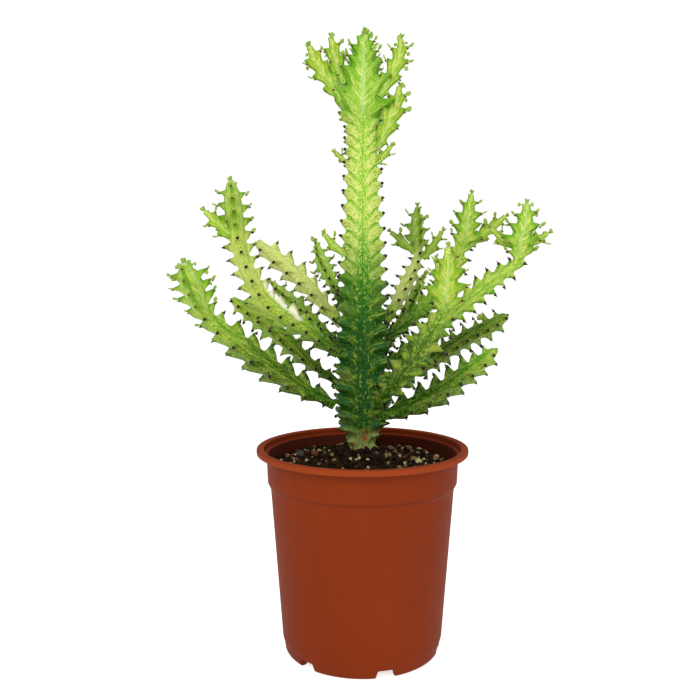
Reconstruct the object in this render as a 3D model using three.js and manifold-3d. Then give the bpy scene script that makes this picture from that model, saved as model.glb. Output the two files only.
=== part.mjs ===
// A candelabra euphorbia in a plastic nursery pot. Millimetres, +Z up.
// The pot stands on z = 0; the viewer of the front stands on the -Y side.

import * as THREE from 'three';
import { mergeVertices } from 'three/addons/utils/BufferGeometryUtils.js';
import Module from 'manifold-3d';

const wasm = await Module();
wasm.setup();

const SLIVER = 0.03; // features finer than this are dropped after a join or a cut

// ---------- pot ----------

const POT_SIDES = 32;
const RIM_RADIUS = 85;
const RIM_INNER_RADIUS = 79;
const RIM_TOP = 167.3;
const LIP_HEIGHT = 4.5;
const LIP_BOTTOM = RIM_TOP - LIP_HEIGHT;
const RIM_EDGE = 1; // the chamfer along the rim
const COLLAR_RADIUS = 77;
const COLLAR_BOTTOM = 140;
const COLLAR_TAPER = 0.7; // how much narrower the collar is at its bottom
const WALL_TOP_RADIUS = 73.8;
const WALL_TOP = 135;
const WALL_FOOT_RADIUS = 65;
const WALL_FOOT = 11;
const FOOT_RADIUS = 63;
const FOOT_EDGE = 3; // height of the foot's slanted edge
const FOOT_FLAT_RADIUS = 58.4;
const FOOT_INNER_RADIUS = 55;
const DRAFT = 0.5; // slant of the faces that the mould draws off
const WALL = 2;
const BASE_UNDERSIDE = 8;
const BASE_TOP = 10;
const NOTCHES = 6;
const FIRST_NOTCH_ANGLE = 17; // degrees from the front towards +X
const NOTCH_WIDTH = 15.4;
const NOTCH_HEIGHT = 7.4;
const NOTCH_TAPER = 0.6;
const NOTCH_CORNER = 1.6;
const NOTCH_REACH = [52, 70]; // from the pot's axis, past both faces of the foot
const DRAIN_RADIUS = 3.5;
const DRAIN_CIRCLE = 44;
const DRAIN_SIDES = 10;
const CUT_PAST = 2; // how far a cut runs past the faces that it goes through

// ---------- soil ----------

const GAP = 0.4; // between neighbours that touch on the real plant
const SOIL_LEVEL = 153.6;
const SOIL_LUMP = 0.75;
const SOIL_WAVES = [ // waves per mm along x and y, start and height: they stand for crumbs and hollows
  [0.31, 0.17, 0, 1], [0.83, -0.61, 1.3, 0.7], [0.57, 0.95, 2.0, 0.6], [-0.11, 0.37, 0.8, 0.9],
];
const SOIL_RINGS = [23, 32, 41, 50, 59, 67];
const SOIL_RING_WAVE = 1.3;
const SOIL_RING_TWIST = 0.05;
const STEM_FOOT_RADIUS = 14.4;
const STEM_FOOT_BOTTOM = 138;
const STEM_FOOT_TOP = 156.4;
const STEM_FOOT_DRAFT = 0.4;
const STEM_FOOT_SIDES = 16;
const PEBBLE_SHAPE = [1.2, 1, 0.8];
const PEBBLE_RISE = 0.25; // how far its middle lies above the soil, as a share of its radius
const PEBBLES = [ // x, y, radius
  [14, -48, 4.2], [-44, -36, 3.6], [-58, -8, 2.6], [-35, -56, 2.4], [33, -41, 3.0], [52, -22, 3.4],
  [-20, -40, 2.6], [60, 14, 2.8], [-52, 30, 3.2], [24, 52, 3.4], [-12, 58, 2.6], [2, -62, 2.2],
];

// ---------- stems ----------

const CORE_SHARE = 0.38; // groove radius as a share of the rib's reach
const LOBE_SHARE = 0.19; // half thickness of a rib at a lobe, as a share of its reach
const CREASE_SHARE = 0.11;
const FLANK_PLACE = 0.6; // where on the rib's height its flank line runs
const LEAN = 0.55; // how far, in teeth, a lobe runs down from the rib's edge to its flank line
const LOBE_HEIGHT = 0.6; // where on a tooth its lobe stands out furthest
const STEM_FOOT_SHARE = 0.9; // width of a rib at the stem's foot, as a share of its reach
const TIP_SHARE = 0.6; // how far the end of a stem stands out, as a share of its reach
const FIRST_TOOTH = 0.004; // no tooth starts below this share of the stem's length
const LAST_TOOTH = 0.99; // and none ends above this
const HEAD_TOOTH = 0.46; // teeth are deepest in the young head of a stem
const HEAD_LENGTH = 45; // of the young head, where a stem's own row says nothing else
const NECK_LENGTH = 14; // a branch is round where it leaves the main stem
const NECK_ROUNDNESS = 0.34;
const CURVE_STEPS = 24;
const FRAME_STEPS = 60;
const PITCH_STEPS = 200;
const SEAT_EDGE = 1.6; // how far the seat in a branch stands off the main stem
const SEAT_FLANK = 0.6;

// One tooth of a rib from its lower notch up: place along the tooth, depth below the rib's reach.
const TOOTH_LINE = [[0, 1], [0.36, 0.77], [0.68, 0], [0.82, 0.88]];
const SPINE_POINT = 2; // which point of TOOTH_LINE is the spine's tip

// Each route is a list of [x, y, z, reach], where reach is from the axis to the teeth. Each pitch is a
// list of [share of the length, distance between teeth].
const MAIN_STEM = {
  node: 'main_stem', ribs: 4, facing: [-1, -1, 0], tooth: 0.28, head: 76, core: 0.46,
  neck: true,
  pitch: [
    [0, 11], [0.13, 11], [0.24, 13.5], [0.39, 12], [0.5, 10], [0.58, 12], [0.71, 10.4], [0.77, 8],
    [0.81, 10], [0.845, 19], [0.9, 19], [0.925, 9], [1, 7.5],
  ],
  spine: 2.6, leaves: 6, color: [0.49, 0.66, 0.24],
  route: [
    [0, 0, 155.5, 18], [0, 0, 178, 19], [0, 0, 186, 28], [0, 0, 205, 32], [0, 0, 240, 32],
    [0, 0, 285, 28], [0, 0, 330, 25], [0, 0, 364, 22], [0, 0, 400, 20], [0, 0, 423, 20],
    [0, 0, 434, 33], [0, 0, 455, 29], [0.5, 0, 468, 19], [1, 0, 482, 12], [1.5, 0, 489, 7],
  ],
  shoots: [
    [[-17, -14, 438, 5], [-24, -20, 449, 9], [-31, -24, 458, 10], [-36, -27, 466, 9], [-39, -28, 474, 3]],
    [[-15, -10, 450, 5], [-19, -8, 461, 8], [-22, -5, 474, 9], [-24, -3, 486, 3]],
    [[13, -12, 441, 5], [19, -14, 451, 9], [25, -15, 463, 10], [28, -14, 473, 8], [29, -14, 482, 3]],
    [[12, -12, 403, 5], [17, -14, 414, 9], [22, -15, 426, 11], [26, -14, 437, 9], [28, -13, 447, 3]],
    [[11, -10, 391, 3], [16, -15, 396, 5], [21, -17, 402, 3]],
    [[-11, -10, 391, 3], [-16, -13, 394, 4], [-20, -15, 398, 3]],
    [[-14, -18, 321, 4], [-20, -21, 326, 6], [-25, -23, 331, 5], [-28, -25, 336, 3]],
  ],
};

const BRANCHES = [
  {
    node: 'branch_left_low', facing: [0, -1, -0.2], leaves: 4, color: [0.48, 0.62, 0.25],
    pitch: [[0, 17], [0.5, 17], [0.68, 14], [0.8, 10], [1, 8]],
    route: [
      [-22, -22, 205, 6], [-33, -26, 211, 8], [-48, -32, 219, 13], [-73, -44, 238, 17],
      [-98, -54, 260, 16], [-114, -59, 276, 10], [-121, -61, 290, 17], [-125, -62, 304, 16],
      [-128, -62, 315, 10],
    ],
  },
  {
    node: 'branch_left_front', facing: [0, -1, 0], pitch: [[0, 13], [1, 9]], leaves: 4,
    color: [0.52, 0.68, 0.27],
    route: [
      [-19, -22, 245, 6], [-31, -26, 254, 8], [-42, -30, 263, 12], [-59, -35, 274, 15],
      [-73, -40, 285, 14], [-83, -44, 303, 12.5], [-89, -46, 320, 12], [-93, -46, 336, 14],
      [-95, -46, 355, 13], [-97, -46, 373, 5],
    ],
    shoots: [
      [[-93, -46, 333, 5], [-102, -50, 340, 7], [-108, -53, 346, 7], [-114, -54, 352, 3]],
    ],
  },
  {
    node: 'branch_left_pale', facing: [0, -1, -0.25], pitch: [[0, 15], [1, 14]], leaves: 0,
    color: [0.68, 0.78, 0.36],
    route: [
      [-17, 22, 264, 6], [-31, 18, 279, 9], [-42, 14, 293, 12], [-56, 10, 306, 13],
      [-72, 4, 320, 12], [-84, 0, 330, 8],
    ],
  },
  {
    node: 'branch_left_rear_low', facing: [0, -1, 0], pitch: [[0, 14], [1, 11]], leaves: 0,
    color: [0.36, 0.52, 0.2],
    route: [
      [-19, 22, 215, 5], [-36, 26, 226, 6], [-50, 31, 236, 11], [-64, 36, 249, 15],
      [-85, 42, 265, 15], [-103, 50, 277, 12], [-112, 53, 283, 7],
    ],
  },
  {
    node: 'branch_left_rear', facing: [0, -1, 0], pitch: [[0, 12], [1, 9]], leaves: 2, lobes: false,
    color: [0.33, 0.5, 0.2],
    route: [
      [-19, 22, 246, 5], [-41, 36, 266, 9], [-57, 48, 279, 11], [-69, 56, 288, 10],
      [-78, 62, 297, 4],
    ],
  },
  {
    node: 'branch_left_rear_high', facing: [0, -1, 0], pitch: [[0, 11], [1, 9]], leaves: 2,
    color: [0.6, 0.74, 0.32],
    route: [[-16, 17, 281, 5], [-25, 37, 297, 8], [-35, 56, 315, 12], [-40, 67, 331, 4]],
  },
  {
    node: 'branch_right_rear_high', facing: [0, -1, 0], pitch: [[0, 12], [1, 9]], leaves: 4,
    color: [0.55, 0.72, 0.3],
    route: [
      [19, 22, 266, 5], [30, 36, 284, 10], [37, 46, 296, 12], [43, 54, 308, 10], [47, 60, 319, 6],
      [47, 64, 334, 13], [47, 66, 349, 11], [47, 67, 361, 4],
    ],
    shoots: [
      [[44, 60, 323, 4], [35, 62, 331, 7], [25, 64, 340, 3]],
      [[51, 58, 318, 4], [58, 56, 326, 7], [67, 54, 340, 3]],
    ],
  },
  {
    node: 'branch_right_rear', facing: [0, 1, 0], pitch: [[0, 13], [1, 9]], leaves: 4,
    color: [0.56, 0.72, 0.3],
    route: [
      [19, 22, 252, 5], [35, 27, 265, 10], [55, 36, 281, 13], [70, 40, 298, 13], [78, 42, 314, 11],
      [81, 42, 327, 10], [85, 42, 338, 16], [87, 42, 353, 13], [90, 42, 370, 4],
    ],
    shoots: [
      [[88, 42, 328, 4], [101, 42, 339, 8], [110, 42, 346, 7], [118, 42, 352, 3]],
      [[61, 36, 287, 4], [64, 32, 300, 8], [61, 30, 317, 4]],
    ],
  },
  {
    node: 'branch_right_front', facing: [0, 1, 0], pitch: [[0, 15], [1, 9]], leaves: 4,
    color: [0.54, 0.7, 0.27],
    route: [
      [11, -20, 205, 6], [19, -36, 218, 10], [28, -50, 232, 15], [36, -59, 244, 17],
      [44, -66, 257, 18], [51, -72, 269, 16], [58, -77, 283, 8], [59, -79, 295, 18],
      [60, -80, 310, 13], [60, -80, 325, 4],
    ],
  },
  {
    node: 'branch_right_high', facing: [0, 1, 0], pitch: [[0, 13], [1, 9]], leaves: 4,
    color: [0.55, 0.71, 0.28],
    route: [
      [19, 22, 229, 6], [35, 19, 242, 10], [55, 13, 259, 12], [74, 7, 276, 12], [87, 3, 288, 12],
      [101, 0, 300, 12], [112, -3, 308, 10], [121, -5, 316, 7], [123, -7, 332, 17],
      [126, -8, 346, 13], [127, -8, 359, 5],
    ],
    shoots: [
      [[120, -6, 326, 4], [110, -5, 332, 7], [101, -4, 341, 3]],
      [[127, -8, 328, 4], [134, -12, 332, 7], [142, -14, 337, 3]],
    ],
  },
  {
    node: 'branch_right_middle', facing: [0, -1, 0], pitch: [[0, 13], [1, 10]], leaves: 0,
    color: [0.42, 0.58, 0.22],
    route: [
      [19, 22, 214, 6], [34, 26, 221, 10], [53, 32, 230, 13], [73, 38, 242, 14], [92, 43, 253, 14],
      [109, 46, 261, 13], [122, 47, 270, 9],
    ],
  },
  {
    node: 'branch_right_low', facing: [0, -1, -0.2], leaves: 0, color: [0.46, 0.6, 0.24],
    pitch: [[0, 18], [0.4, 17], [0.7, 12.5], [1, 9]],
    route: [
      [14, -20, 196, 6], [23, -24, 199, 9], [34, -28, 203, 13], [49, -32, 210, 15],
      [63, -37, 219, 15], [75, -40, 229, 14], [85, -44, 237, 13], [93, -46, 244, 11],
      [99, -48, 251, 7],
    ],
  },
  {
    node: 'branch_rear', facing: [0, -1, 0], pitch: [[0, 12], [1, 9]], leaves: 2, lobes: false,
    color: [0.45, 0.56, 0.2],
    route: [
      [17, 22, 240, 5], [24, 44, 250, 8], [36, 60, 268, 10], [46, 72, 287, 9],
      [54, 80, 303, 4],
    ],
  },
];

const SHOOT = {
  facing: [0, -1, 0], pitch: [[0, 13], [1, 9]], tooth: 0.5, spine: 1.6, lobes: false, leaves: 2,
};
const LEAF_LENGTH = 6.5;
const LEAF_WIDTH = 3.6;
const LEAF_THICKNESS = 1.1;
const LEAF_ROOT = 1.8; // how deep a leaf's root is sunk in its tooth
const LEAF_SWAY = 0.22; // how far it leans to one side
const LEAF_OUT = 0.75; // its way out from the stem, and
const LEAF_UP = 0.6; // its way up along it
const LEAF_TURN = 0.3; // radians about its own length
const LEAF_WIDEST = 0.6; // where it is widest, as a share of its length

// ---------- solids ----------

const radians = (degrees) => THREE.MathUtils.degToRad(degrees);

function toSolid(geometry) {
  const bare = geometry.clone();
  bare.deleteAttribute('normal');
  bare.deleteAttribute('uv');
  const merged = mergeVertices(bare, 1e-4);
  return new wasm.Manifold(new wasm.Mesh({
    numProp: 3,
    vertProperties: new Float32Array(merged.attributes.position.array),
    triVerts: new Uint32Array(merged.index.array),
  }));
}

function toGeometry(solid) {
  const mesh = solid.getMesh();
  const geometry = new THREE.BufferGeometry();
  geometry.setAttribute('position', new THREE.BufferAttribute(new Float32Array(mesh.vertProperties), 3));
  geometry.setIndex(new THREE.BufferAttribute(new Uint32Array(mesh.triVerts), 1));
  geometry.computeVertexNormals();
  return geometry;
}

function fromPoints(points, triangles) {
  const geometry = new THREE.BufferGeometry();
  const places = points.flatMap((point) => point.toArray());
  geometry.setAttribute('position', new THREE.Float32BufferAttribute(places, 3));
  geometry.setIndex(triangles);
  return toSolid(geometry);
}

// The value at x on a line through [x, value] knots.
function between(knots, x) {
  const next = Math.max(1, knots.findIndex(([at]) => at >= x));
  const [[x0, low], [x1, high]] = [knots[next - 1], knots[next]];
  return THREE.MathUtils.lerp(low, high, (x - x0) / (x1 - x0));
}

// The main piece of a joined or cut solid, without scraps and slivers.
function mainPiece(solid) {
  const pieces = solid.decompose();
  const main = pieces.reduce((best, piece) => (piece.volume() > best.volume() ? piece : best));
  return main.simplify(SLIVER);
}

function makeMesh(name, solid, color, roughness) {
  const material = new THREE.MeshStandardMaterial({
    color: new THREE.Color().setRGB(...color, THREE.SRGBColorSpace),
    roughness,
    metalness: 0,
  });
  const mesh = new THREE.Mesh(toGeometry(solid), material);
  mesh.name = name;
  return mesh;
}

// ---------- pot ----------

// The inside of the wall, from the floor up to the rim.
const INNER_WALL = [
  [WALL_FOOT_RADIUS - WALL, BASE_TOP],
  [WALL_TOP_RADIUS - WALL, WALL_TOP + DRAFT],
  [COLLAR_RADIUS - COLLAR_TAPER - WALL, COLLAR_BOTTOM + RIM_EDGE],
  [COLLAR_RADIUS - WALL + DRAFT, LIP_BOTTOM - DRAFT],
];

function makePot() {
  const profile = [
    [0, BASE_UNDERSIDE], [FOOT_INNER_RADIUS, BASE_UNDERSIDE], [FOOT_INNER_RADIUS + DRAFT, 0],
    [FOOT_FLAT_RADIUS, 0], [FOOT_RADIUS, FOOT_EDGE], [WALL_FOOT_RADIUS, WALL_FOOT],
    [WALL_TOP_RADIUS, WALL_TOP], [COLLAR_RADIUS - COLLAR_TAPER, COLLAR_BOTTOM],
    [COLLAR_RADIUS, LIP_BOTTOM - RIM_EDGE], [RIM_RADIUS - RIM_EDGE, LIP_BOTTOM],
    [RIM_RADIUS, LIP_BOTTOM + RIM_EDGE], [RIM_RADIUS, RIM_TOP - RIM_EDGE],
    [RIM_RADIUS - RIM_EDGE, RIM_TOP], [RIM_INNER_RADIUS, RIM_TOP],
    [RIM_INNER_RADIUS - DRAFT, LIP_BOTTOM + DRAFT],
    ...INNER_WALL.toReversed(), [0, BASE_TOP],
  ];
  const turned = new THREE.LatheGeometry(profile.map(([r, z]) => new THREE.Vector2(r, z)), POT_SIDES);
  turned.rotateX(Math.PI / 2);
  let pot = toSolid(turned);
  const depth = BASE_TOP - BASE_UNDERSIDE + 2 * CUT_PAST;
  const drain = new THREE.CylinderGeometry(DRAIN_RADIUS, DRAIN_RADIUS, depth, DRAIN_SIDES);
  drain.rotateX(Math.PI / 2);
  drain.translate(0, -DRAIN_CIRCLE, (BASE_TOP + BASE_UNDERSIDE) / 2);
  for (let i = 0; i < NOTCHES; i += 1) {
    const angle = FIRST_NOTCH_ANGLE + (i * 360) / NOTCHES;
    pot = pot.subtract(toSolid(notchShape()).rotate([0, 0, angle]));
    pot = pot.subtract(toSolid(drain).rotate([0, 0, angle]));
  }
  return pot;
}

// A notch of the foot at the front: a trapezium, wider at the ground, cut through the foot's ring.
function notchShape() {
  const foot = NOTCH_WIDTH / 2 + NOTCH_TAPER;
  const side = NOTCH_WIDTH / 2 - NOTCH_TAPER;
  const top = side - NOTCH_CORNER;
  const low = NOTCH_HEIGHT - NOTCH_CORNER;
  const shape = new THREE.Shape([
    [-foot, -CUT_PAST], [foot, -CUT_PAST], [side, low], [top, NOTCH_HEIGHT], [-top, NOTCH_HEIGHT],
    [-side, low],
  ].map(([x, z]) => new THREE.Vector2(x, z)));
  const [near, far] = NOTCH_REACH;
  const geometry = new THREE.ExtrudeGeometry(shape, { depth: far - near, bevelEnabled: false });
  geometry.rotateX(Math.PI / 2);
  geometry.translate(0, -near, 0);
  return geometry;
}

// ---------- soil ----------

function soilHeight(x, y) {
  const lumps = SOIL_WAVES.map(([across, deep, start, height]) => (
    height * Math.sin(x * across + y * deep + start)
  ));
  const roughness = THREE.MathUtils.smoothstep(Math.hypot(x, y), STEM_FOOT_RADIUS, SOIL_RINGS[1]);
  return SOIL_LEVEL + SOIL_LUMP * roughness * lumps.reduce((sum, lump) => sum + lump);
}

function makeSoil() {
  const holeRadius = STEM_FOOT_RADIUS + GAP;
  const wall = INNER_WALL.filter(([, z]) => z < SOIL_LEVEL).toReversed();
  const rings = [
    { r: holeRadius, z: STEM_FOOT_BOTTOM - GAP },
    { r: holeRadius, z: STEM_FOOT_TOP - 2 * GAP - 1 },
    ...SOIL_RINGS.map((r) => ({ r, rough: true })),
    { r: COLLAR_RADIUS - WALL - 2 * GAP, z: SOIL_LEVEL - GAP },
    ...wall.map(([r, z]) => ({ r: r - GAP, z: Math.max(z, BASE_TOP + GAP) })),
  ];
  const points = [new THREE.Vector3(0, 0, rings[0].z), new THREE.Vector3(0, 0, rings.at(-1).z)];
  rings.forEach((ring) => {
    for (let i = 0; i < POT_SIDES; i += 1) {
      const twist = ring.rough ? SOIL_RING_TWIST * Math.sin(i * 2.7 + ring.r) : 0;
      const angle = (2 * Math.PI * i) / POT_SIDES + twist;
      const r = ring.r + (ring.rough ? SOIL_RING_WAVE * Math.cos(i * 1.9 + ring.r * 0.7) : 0);
      const x = r * Math.cos(angle);
      const y = r * Math.sin(angle);
      points.push(new THREE.Vector3(x, y, ring.rough ? soilHeight(x, y) : ring.z));
    }
  });
  const at = (ring, i) => 2 + ring * POT_SIDES + (i % POT_SIDES);
  const triangles = [];
  for (let i = 0; i < POT_SIDES; i += 1) {
    triangles.push(0, at(0, i), at(0, i + 1));
    for (let ring = 0; ring < rings.length - 1; ring += 1) {
      triangles.push(at(ring, i), at(ring + 1, i), at(ring + 1, i + 1));
      triangles.push(at(ring, i), at(ring + 1, i + 1), at(ring, i + 1));
    }
    triangles.push(1, at(rings.length - 1, i + 1), at(rings.length - 1, i));
  }
  let soil = fromPoints(points, triangles);
  PEBBLES.forEach(([x, y, r], i) => {
    const pebble = new THREE.IcosahedronGeometry(r, 0);
    pebble.scale(...PEBBLE_SHAPE);
    pebble.rotateZ(i);
    pebble.translate(x, y, soilHeight(x, y) + PEBBLE_RISE * r);
    soil = soil.add(toSolid(pebble));
  });
  return mainPiece(soil);
}

// ---------- stems ----------

// The stem's axis: a place, a direction and a sideways normal at each share u of its length.
function stemAxis(route, facing) {
  const places = route.map(([x, y, z]) => new THREE.Vector3(x, y, z));
  const curve = new THREE.CatmullRomCurve3(places, false, 'catmullrom');
  const lengths = curve.getLengths(CURVE_STEPS * (route.length - 1));
  const length = lengths.at(-1);
  const reaches = route.map(([, , , reach], i) => [lengths[i * CURVE_STEPS] / length, reach]);
  const normals = [];
  let normal = new THREE.Vector3(...facing);
  for (let i = 0; i <= FRAME_STEPS; i += 1) {
    const tangent = curve.getTangentAt(i / FRAME_STEPS);
    normal = normal.clone().addScaledVector(tangent, -normal.dot(tangent)).normalize();
    normals.push(normal);
  }
  return {
    length,
    point: (u) => curve.getPointAt(u),
    tangent: (u) => curve.getTangentAt(u),
    normal(u) {
      const step = Math.min(Math.floor(u * FRAME_STEPS), FRAME_STEPS - 1);
      return normals[step].clone().lerp(normals[step + 1], u * FRAME_STEPS - step).normalize();
    },
    reach: (u) => between(reaches, u),
  };
}

// The number of teeth on a stem, and where on its length the tooth number x starts.
function toothPlaces(length, pitch) {
  const marks = [[0, 0]];
  for (let i = 1; i <= PITCH_STEPS; i += 1) {
    const teeth = length / between(pitch, (i - 0.5) / PITCH_STEPS) / PITCH_STEPS;
    marks.push([marks[i - 1][0] + teeth, i / PITCH_STEPS]);
  }
  const total = marks.at(-1)[0];
  const count = Math.max(2, Math.round(total));
  const place = (x) => between(marks, THREE.MathUtils.clamp((x * total) / count, 0, total));
  return { count, place };
}

// A winged stem: a groove line between ribs, and on each rib an edge line of teeth with a spine on
// each, and a flank line on both sides with a lobe to each tooth and a crease that runs down and in.
function ribbedStem(spec, seat = false) {
  const { ribs = 3, pitch, tooth = 0.47, core = CORE_SHARE, spine = 2, lobes = true } = spec;
  const axis = stemAxis(spec.route, spec.facing);
  const { count, place } = toothPlaces(axis.length, pitch);
  const edgeOff = seat ? SEAT_EDGE : 0;
  const flankOff = seat ? SEAT_FLANK : 0;
  const points = [];
  const teeth = [];
  const locate = (u, angle, out, side) => {
    const tangent = axis.tangent(u);
    const radial = axis.normal(u).applyAxisAngle(tangent, angle);
    const across = new THREE.Vector3().crossVectors(tangent, radial);
    points.push(axis.point(u).addScaledVector(radial, out).addScaledVector(across, side));
    return { u, index: points.length - 1 };
  };
  const coreRadius = (u) => {
    const neck = spec.neck ? Math.max(0, 1 - (u * axis.length) / NECK_LENGTH) : 0;
    return axis.reach(u) * (core + neck * NECK_ROUNDNESS) + flankOff;
  };
  const toothDepth = (u) => {
    const length = spec.head ?? HEAD_LENGTH;
    const head = spec.leaves ? Math.max(0, 1 - ((1 - u) * axis.length) / length) : 0;
    return THREE.MathUtils.lerp(tooth, Math.max(tooth, HEAD_TOOTH), Math.min(1, head * 2));
  };
  const raised = (rib) => (rib === 1 || rib === 2 ? 0.5 : 0); // the right-hand pair of four ribs
  const phase = (rib) => (ribs === 4 ? raised(rib) : rib / ribs);
  const places = (rib, from, to) => {
    const list = [];
    for (let x = -1; x < count; x += 1) {
      const u = place(x + phase(rib) + to);
      if (place(x + phase(rib) + from) > FIRST_TOOTH && u < LAST_TOOTH) list.push(x + phase(rib));
    }
    return list;
  };
  const edgeLine = (rib) => {
    const angle = (rib * 2 * Math.PI) / ribs;
    const line = [locate(0, angle, axis.reach(0) * STEM_FOOT_SHARE + edgeOff, 0)];
    places(rib, 0, TOOTH_LINE.at(-1)[0]).forEach((x) => TOOTH_LINE.forEach(([along, depth], i) => {
      const u = place(x + along);
      const reach = axis.reach(u);
      const out = i === SPINE_POINT ? reach + spine : reach * (1 - toothDepth(u) * depth);
      line.push(locate(u, angle, out + edgeOff, 0));
      if (i === SPINE_POINT) teeth.push({ u, angle, out: reach });
    }));
    line.push(locate(1, angle, axis.reach(1), 0));
    return line;
  };
  const flankLine = (rib, sign) => {
    const angle = (rib * 2 * Math.PI) / ribs;
    const at = (u, share) => {
      const reach = axis.reach(u);
      return locate(u, angle, reach * FLANK_PLACE, sign * (reach * share + flankOff));
    };
    return [
      at(0, LOBE_SHARE * 2),
      ...places(rib, -LEAN, LOBE_HEIGHT - LEAN).flatMap((x) => [
        at(place(x - LEAN), CREASE_SHARE),
        at(place(x + LOBE_HEIGHT - LEAN), LOBE_SHARE),
      ]),
      at(1, LOBE_SHARE),
    ];
  };
  const grooveLine = (rib) => {
    const angle = ((rib + 0.5) * 2 * Math.PI) / ribs;
    const line = [locate(0, angle, coreRadius(0), 0)];
    for (let x = LOBE_HEIGHT; x < count - 0.5; x += 1) {
      line.push(locate(place(x), angle, coreRadius(place(x)), 0));
    }
    line.push(locate(1, angle, coreRadius(1), 0));
    return line;
  };
  const lines = [];
  for (let rib = 0; rib < ribs; rib += 1) {
    if (lobes) lines.push(flankLine(rib, -1));
    lines.push(edgeLine(rib));
    if (lobes) lines.push(flankLine(rib, 1));
    lines.push(grooveLine(rib));
  }
  const triangles = [];
  lines.forEach((line, i) => stitch(line, lines[(i + 1) % lines.length], triangles));
  const tip = axis.point(1).addScaledVector(axis.tangent(1), axis.reach(1) * TIP_SHARE);
  const ends = [axis.point(0), tip];
  ends.forEach((end, top) => {
    points.push(end);
    lines.forEach((line, i) => {
      const here = line.at(-top).index;
      const next = lines[(i + 1) % lines.length].at(-top).index;
      triangles.push(points.length - 1, ...(top ? [here, next] : [next, here]));
    });
  });
  return { solid: fromPoints(points, triangles), axis, teeth };
}

// Joins two lines that run up a stem side by side, by triangles.
function stitch(left, right, triangles) {
  let i = 0;
  let j = 0;
  while (i < left.length - 1 || j < right.length - 1) {
    const leftFirst = j === right.length - 1 || (i < left.length - 1 && left[i + 1].u <= right[j + 1].u);
    if (leftFirst) {
      triangles.push(left[i].index, right[j].index, left[i + 1].index);
      i += 1;
    } else {
      triangles.push(left[i].index, right[j].index, right[j + 1].index);
      j += 1;
    }
  }
}

// A small leaf on a tooth: a flat six-pointed lens whose root is sunk in the tooth.
function makeLeaf(axis, { u, angle, out }) {
  const tangent = axis.tangent(u);
  const radial = axis.normal(u).applyAxisAngle(tangent, angle);
  const across = new THREE.Vector3().crossVectors(tangent, radial);
  const along = radial.clone().multiplyScalar(LEAF_OUT).addScaledVector(tangent, LEAF_UP)
    .addScaledVector(across, LEAF_SWAY).normalize();
  across.addScaledVector(along, -across.dot(along)).normalize().applyAxisAngle(along, LEAF_TURN);
  const thick = new THREE.Vector3().crossVectors(along, across);
  const root = axis.point(u).addScaledVector(radial, out - LEAF_ROOT);
  const place = (a, b, c) => (
    root.clone().addScaledVector(along, a).addScaledVector(across, b).addScaledVector(thick, c)
  );
  const wide = LEAF_ROOT + LEAF_LENGTH * LEAF_WIDEST;
  const points = [
    place(0, 0, 0), place(wide, LEAF_WIDTH / 2, 0), place(LEAF_ROOT + LEAF_LENGTH, 0, 0),
    place(wide, -LEAF_WIDTH / 2, 0), place(wide, 0, LEAF_THICKNESS / 2), place(wide, 0, -LEAF_THICKNESS / 2),
  ];
  return fromPoints(points, [0, 4, 1, 1, 4, 2, 2, 4, 3, 3, 4, 0, 1, 5, 0, 2, 5, 1, 3, 5, 2, 0, 5, 3]);
}

// A stem with its leaves and side shoots fused on.
function leafyStem(spec) {
  const { solid, axis, teeth } = ribbedStem(spec);
  let whole = solid;
  const topDown = teeth.toSorted((a, b) => b.u - a.u).slice(0, spec.leaves);
  topDown.forEach((tooth) => {
    whole = whole.add(makeLeaf(axis, tooth));
  });
  (spec.shoots ?? []).forEach((route) => {
    whole = whole.add(leafyStem({ ...SHOOT, route }));
  });
  return whole;
}

function makeMainStem() {
  const height = STEM_FOOT_TOP - STEM_FOOT_BOTTOM;
  const top = STEM_FOOT_RADIUS - STEM_FOOT_DRAFT;
  const foot = new THREE.CylinderGeometry(top, STEM_FOOT_RADIUS, height, STEM_FOOT_SIDES);
  foot.rotateX(Math.PI / 2);
  foot.translate(0, 0, STEM_FOOT_BOTTOM + height / 2);
  return mainPiece(leafyStem(MAIN_STEM).add(toSolid(foot)));
}

function makeBranch(spec, seat) {
  return mainPiece(leafyStem({ ...spec, neck: true }).subtract(seat));
}

// ---------- the plant in its pot ----------

const plant = new THREE.Group();
plant.add(makeMesh('pot', makePot(), [0.56, 0.24, 0.13], 0.45));
plant.add(makeMesh('soil', makeSoil(), [0.16, 0.12, 0.08], 0.95));
plant.add(makeMesh(MAIN_STEM.node, makeMainStem(), MAIN_STEM.color, 0.5));
const seat = ribbedStem(MAIN_STEM, true).solid;
BRANCHES.forEach((spec) => {
  plant.add(makeMesh(spec.node, makeBranch(spec, seat), spec.color, 0.5));
});

// The origin is on the ground, under the middle of the whole plant.
const box = new THREE.Box3().setFromObject(plant);
plant.position.set(-(box.min.x + box.max.x) / 2, -(box.min.y + box.max.y) / 2, 0);

export default plant;
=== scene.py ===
"""A variegated candelabra euphorbia in a plastic nursery pot, in metres, +Z up.

Lengths in the constants are millimetres, measured from the pot's axis and the ground.
"""

import math

import bmesh
import bpy
import numpy as np
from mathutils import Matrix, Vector, noise


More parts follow.
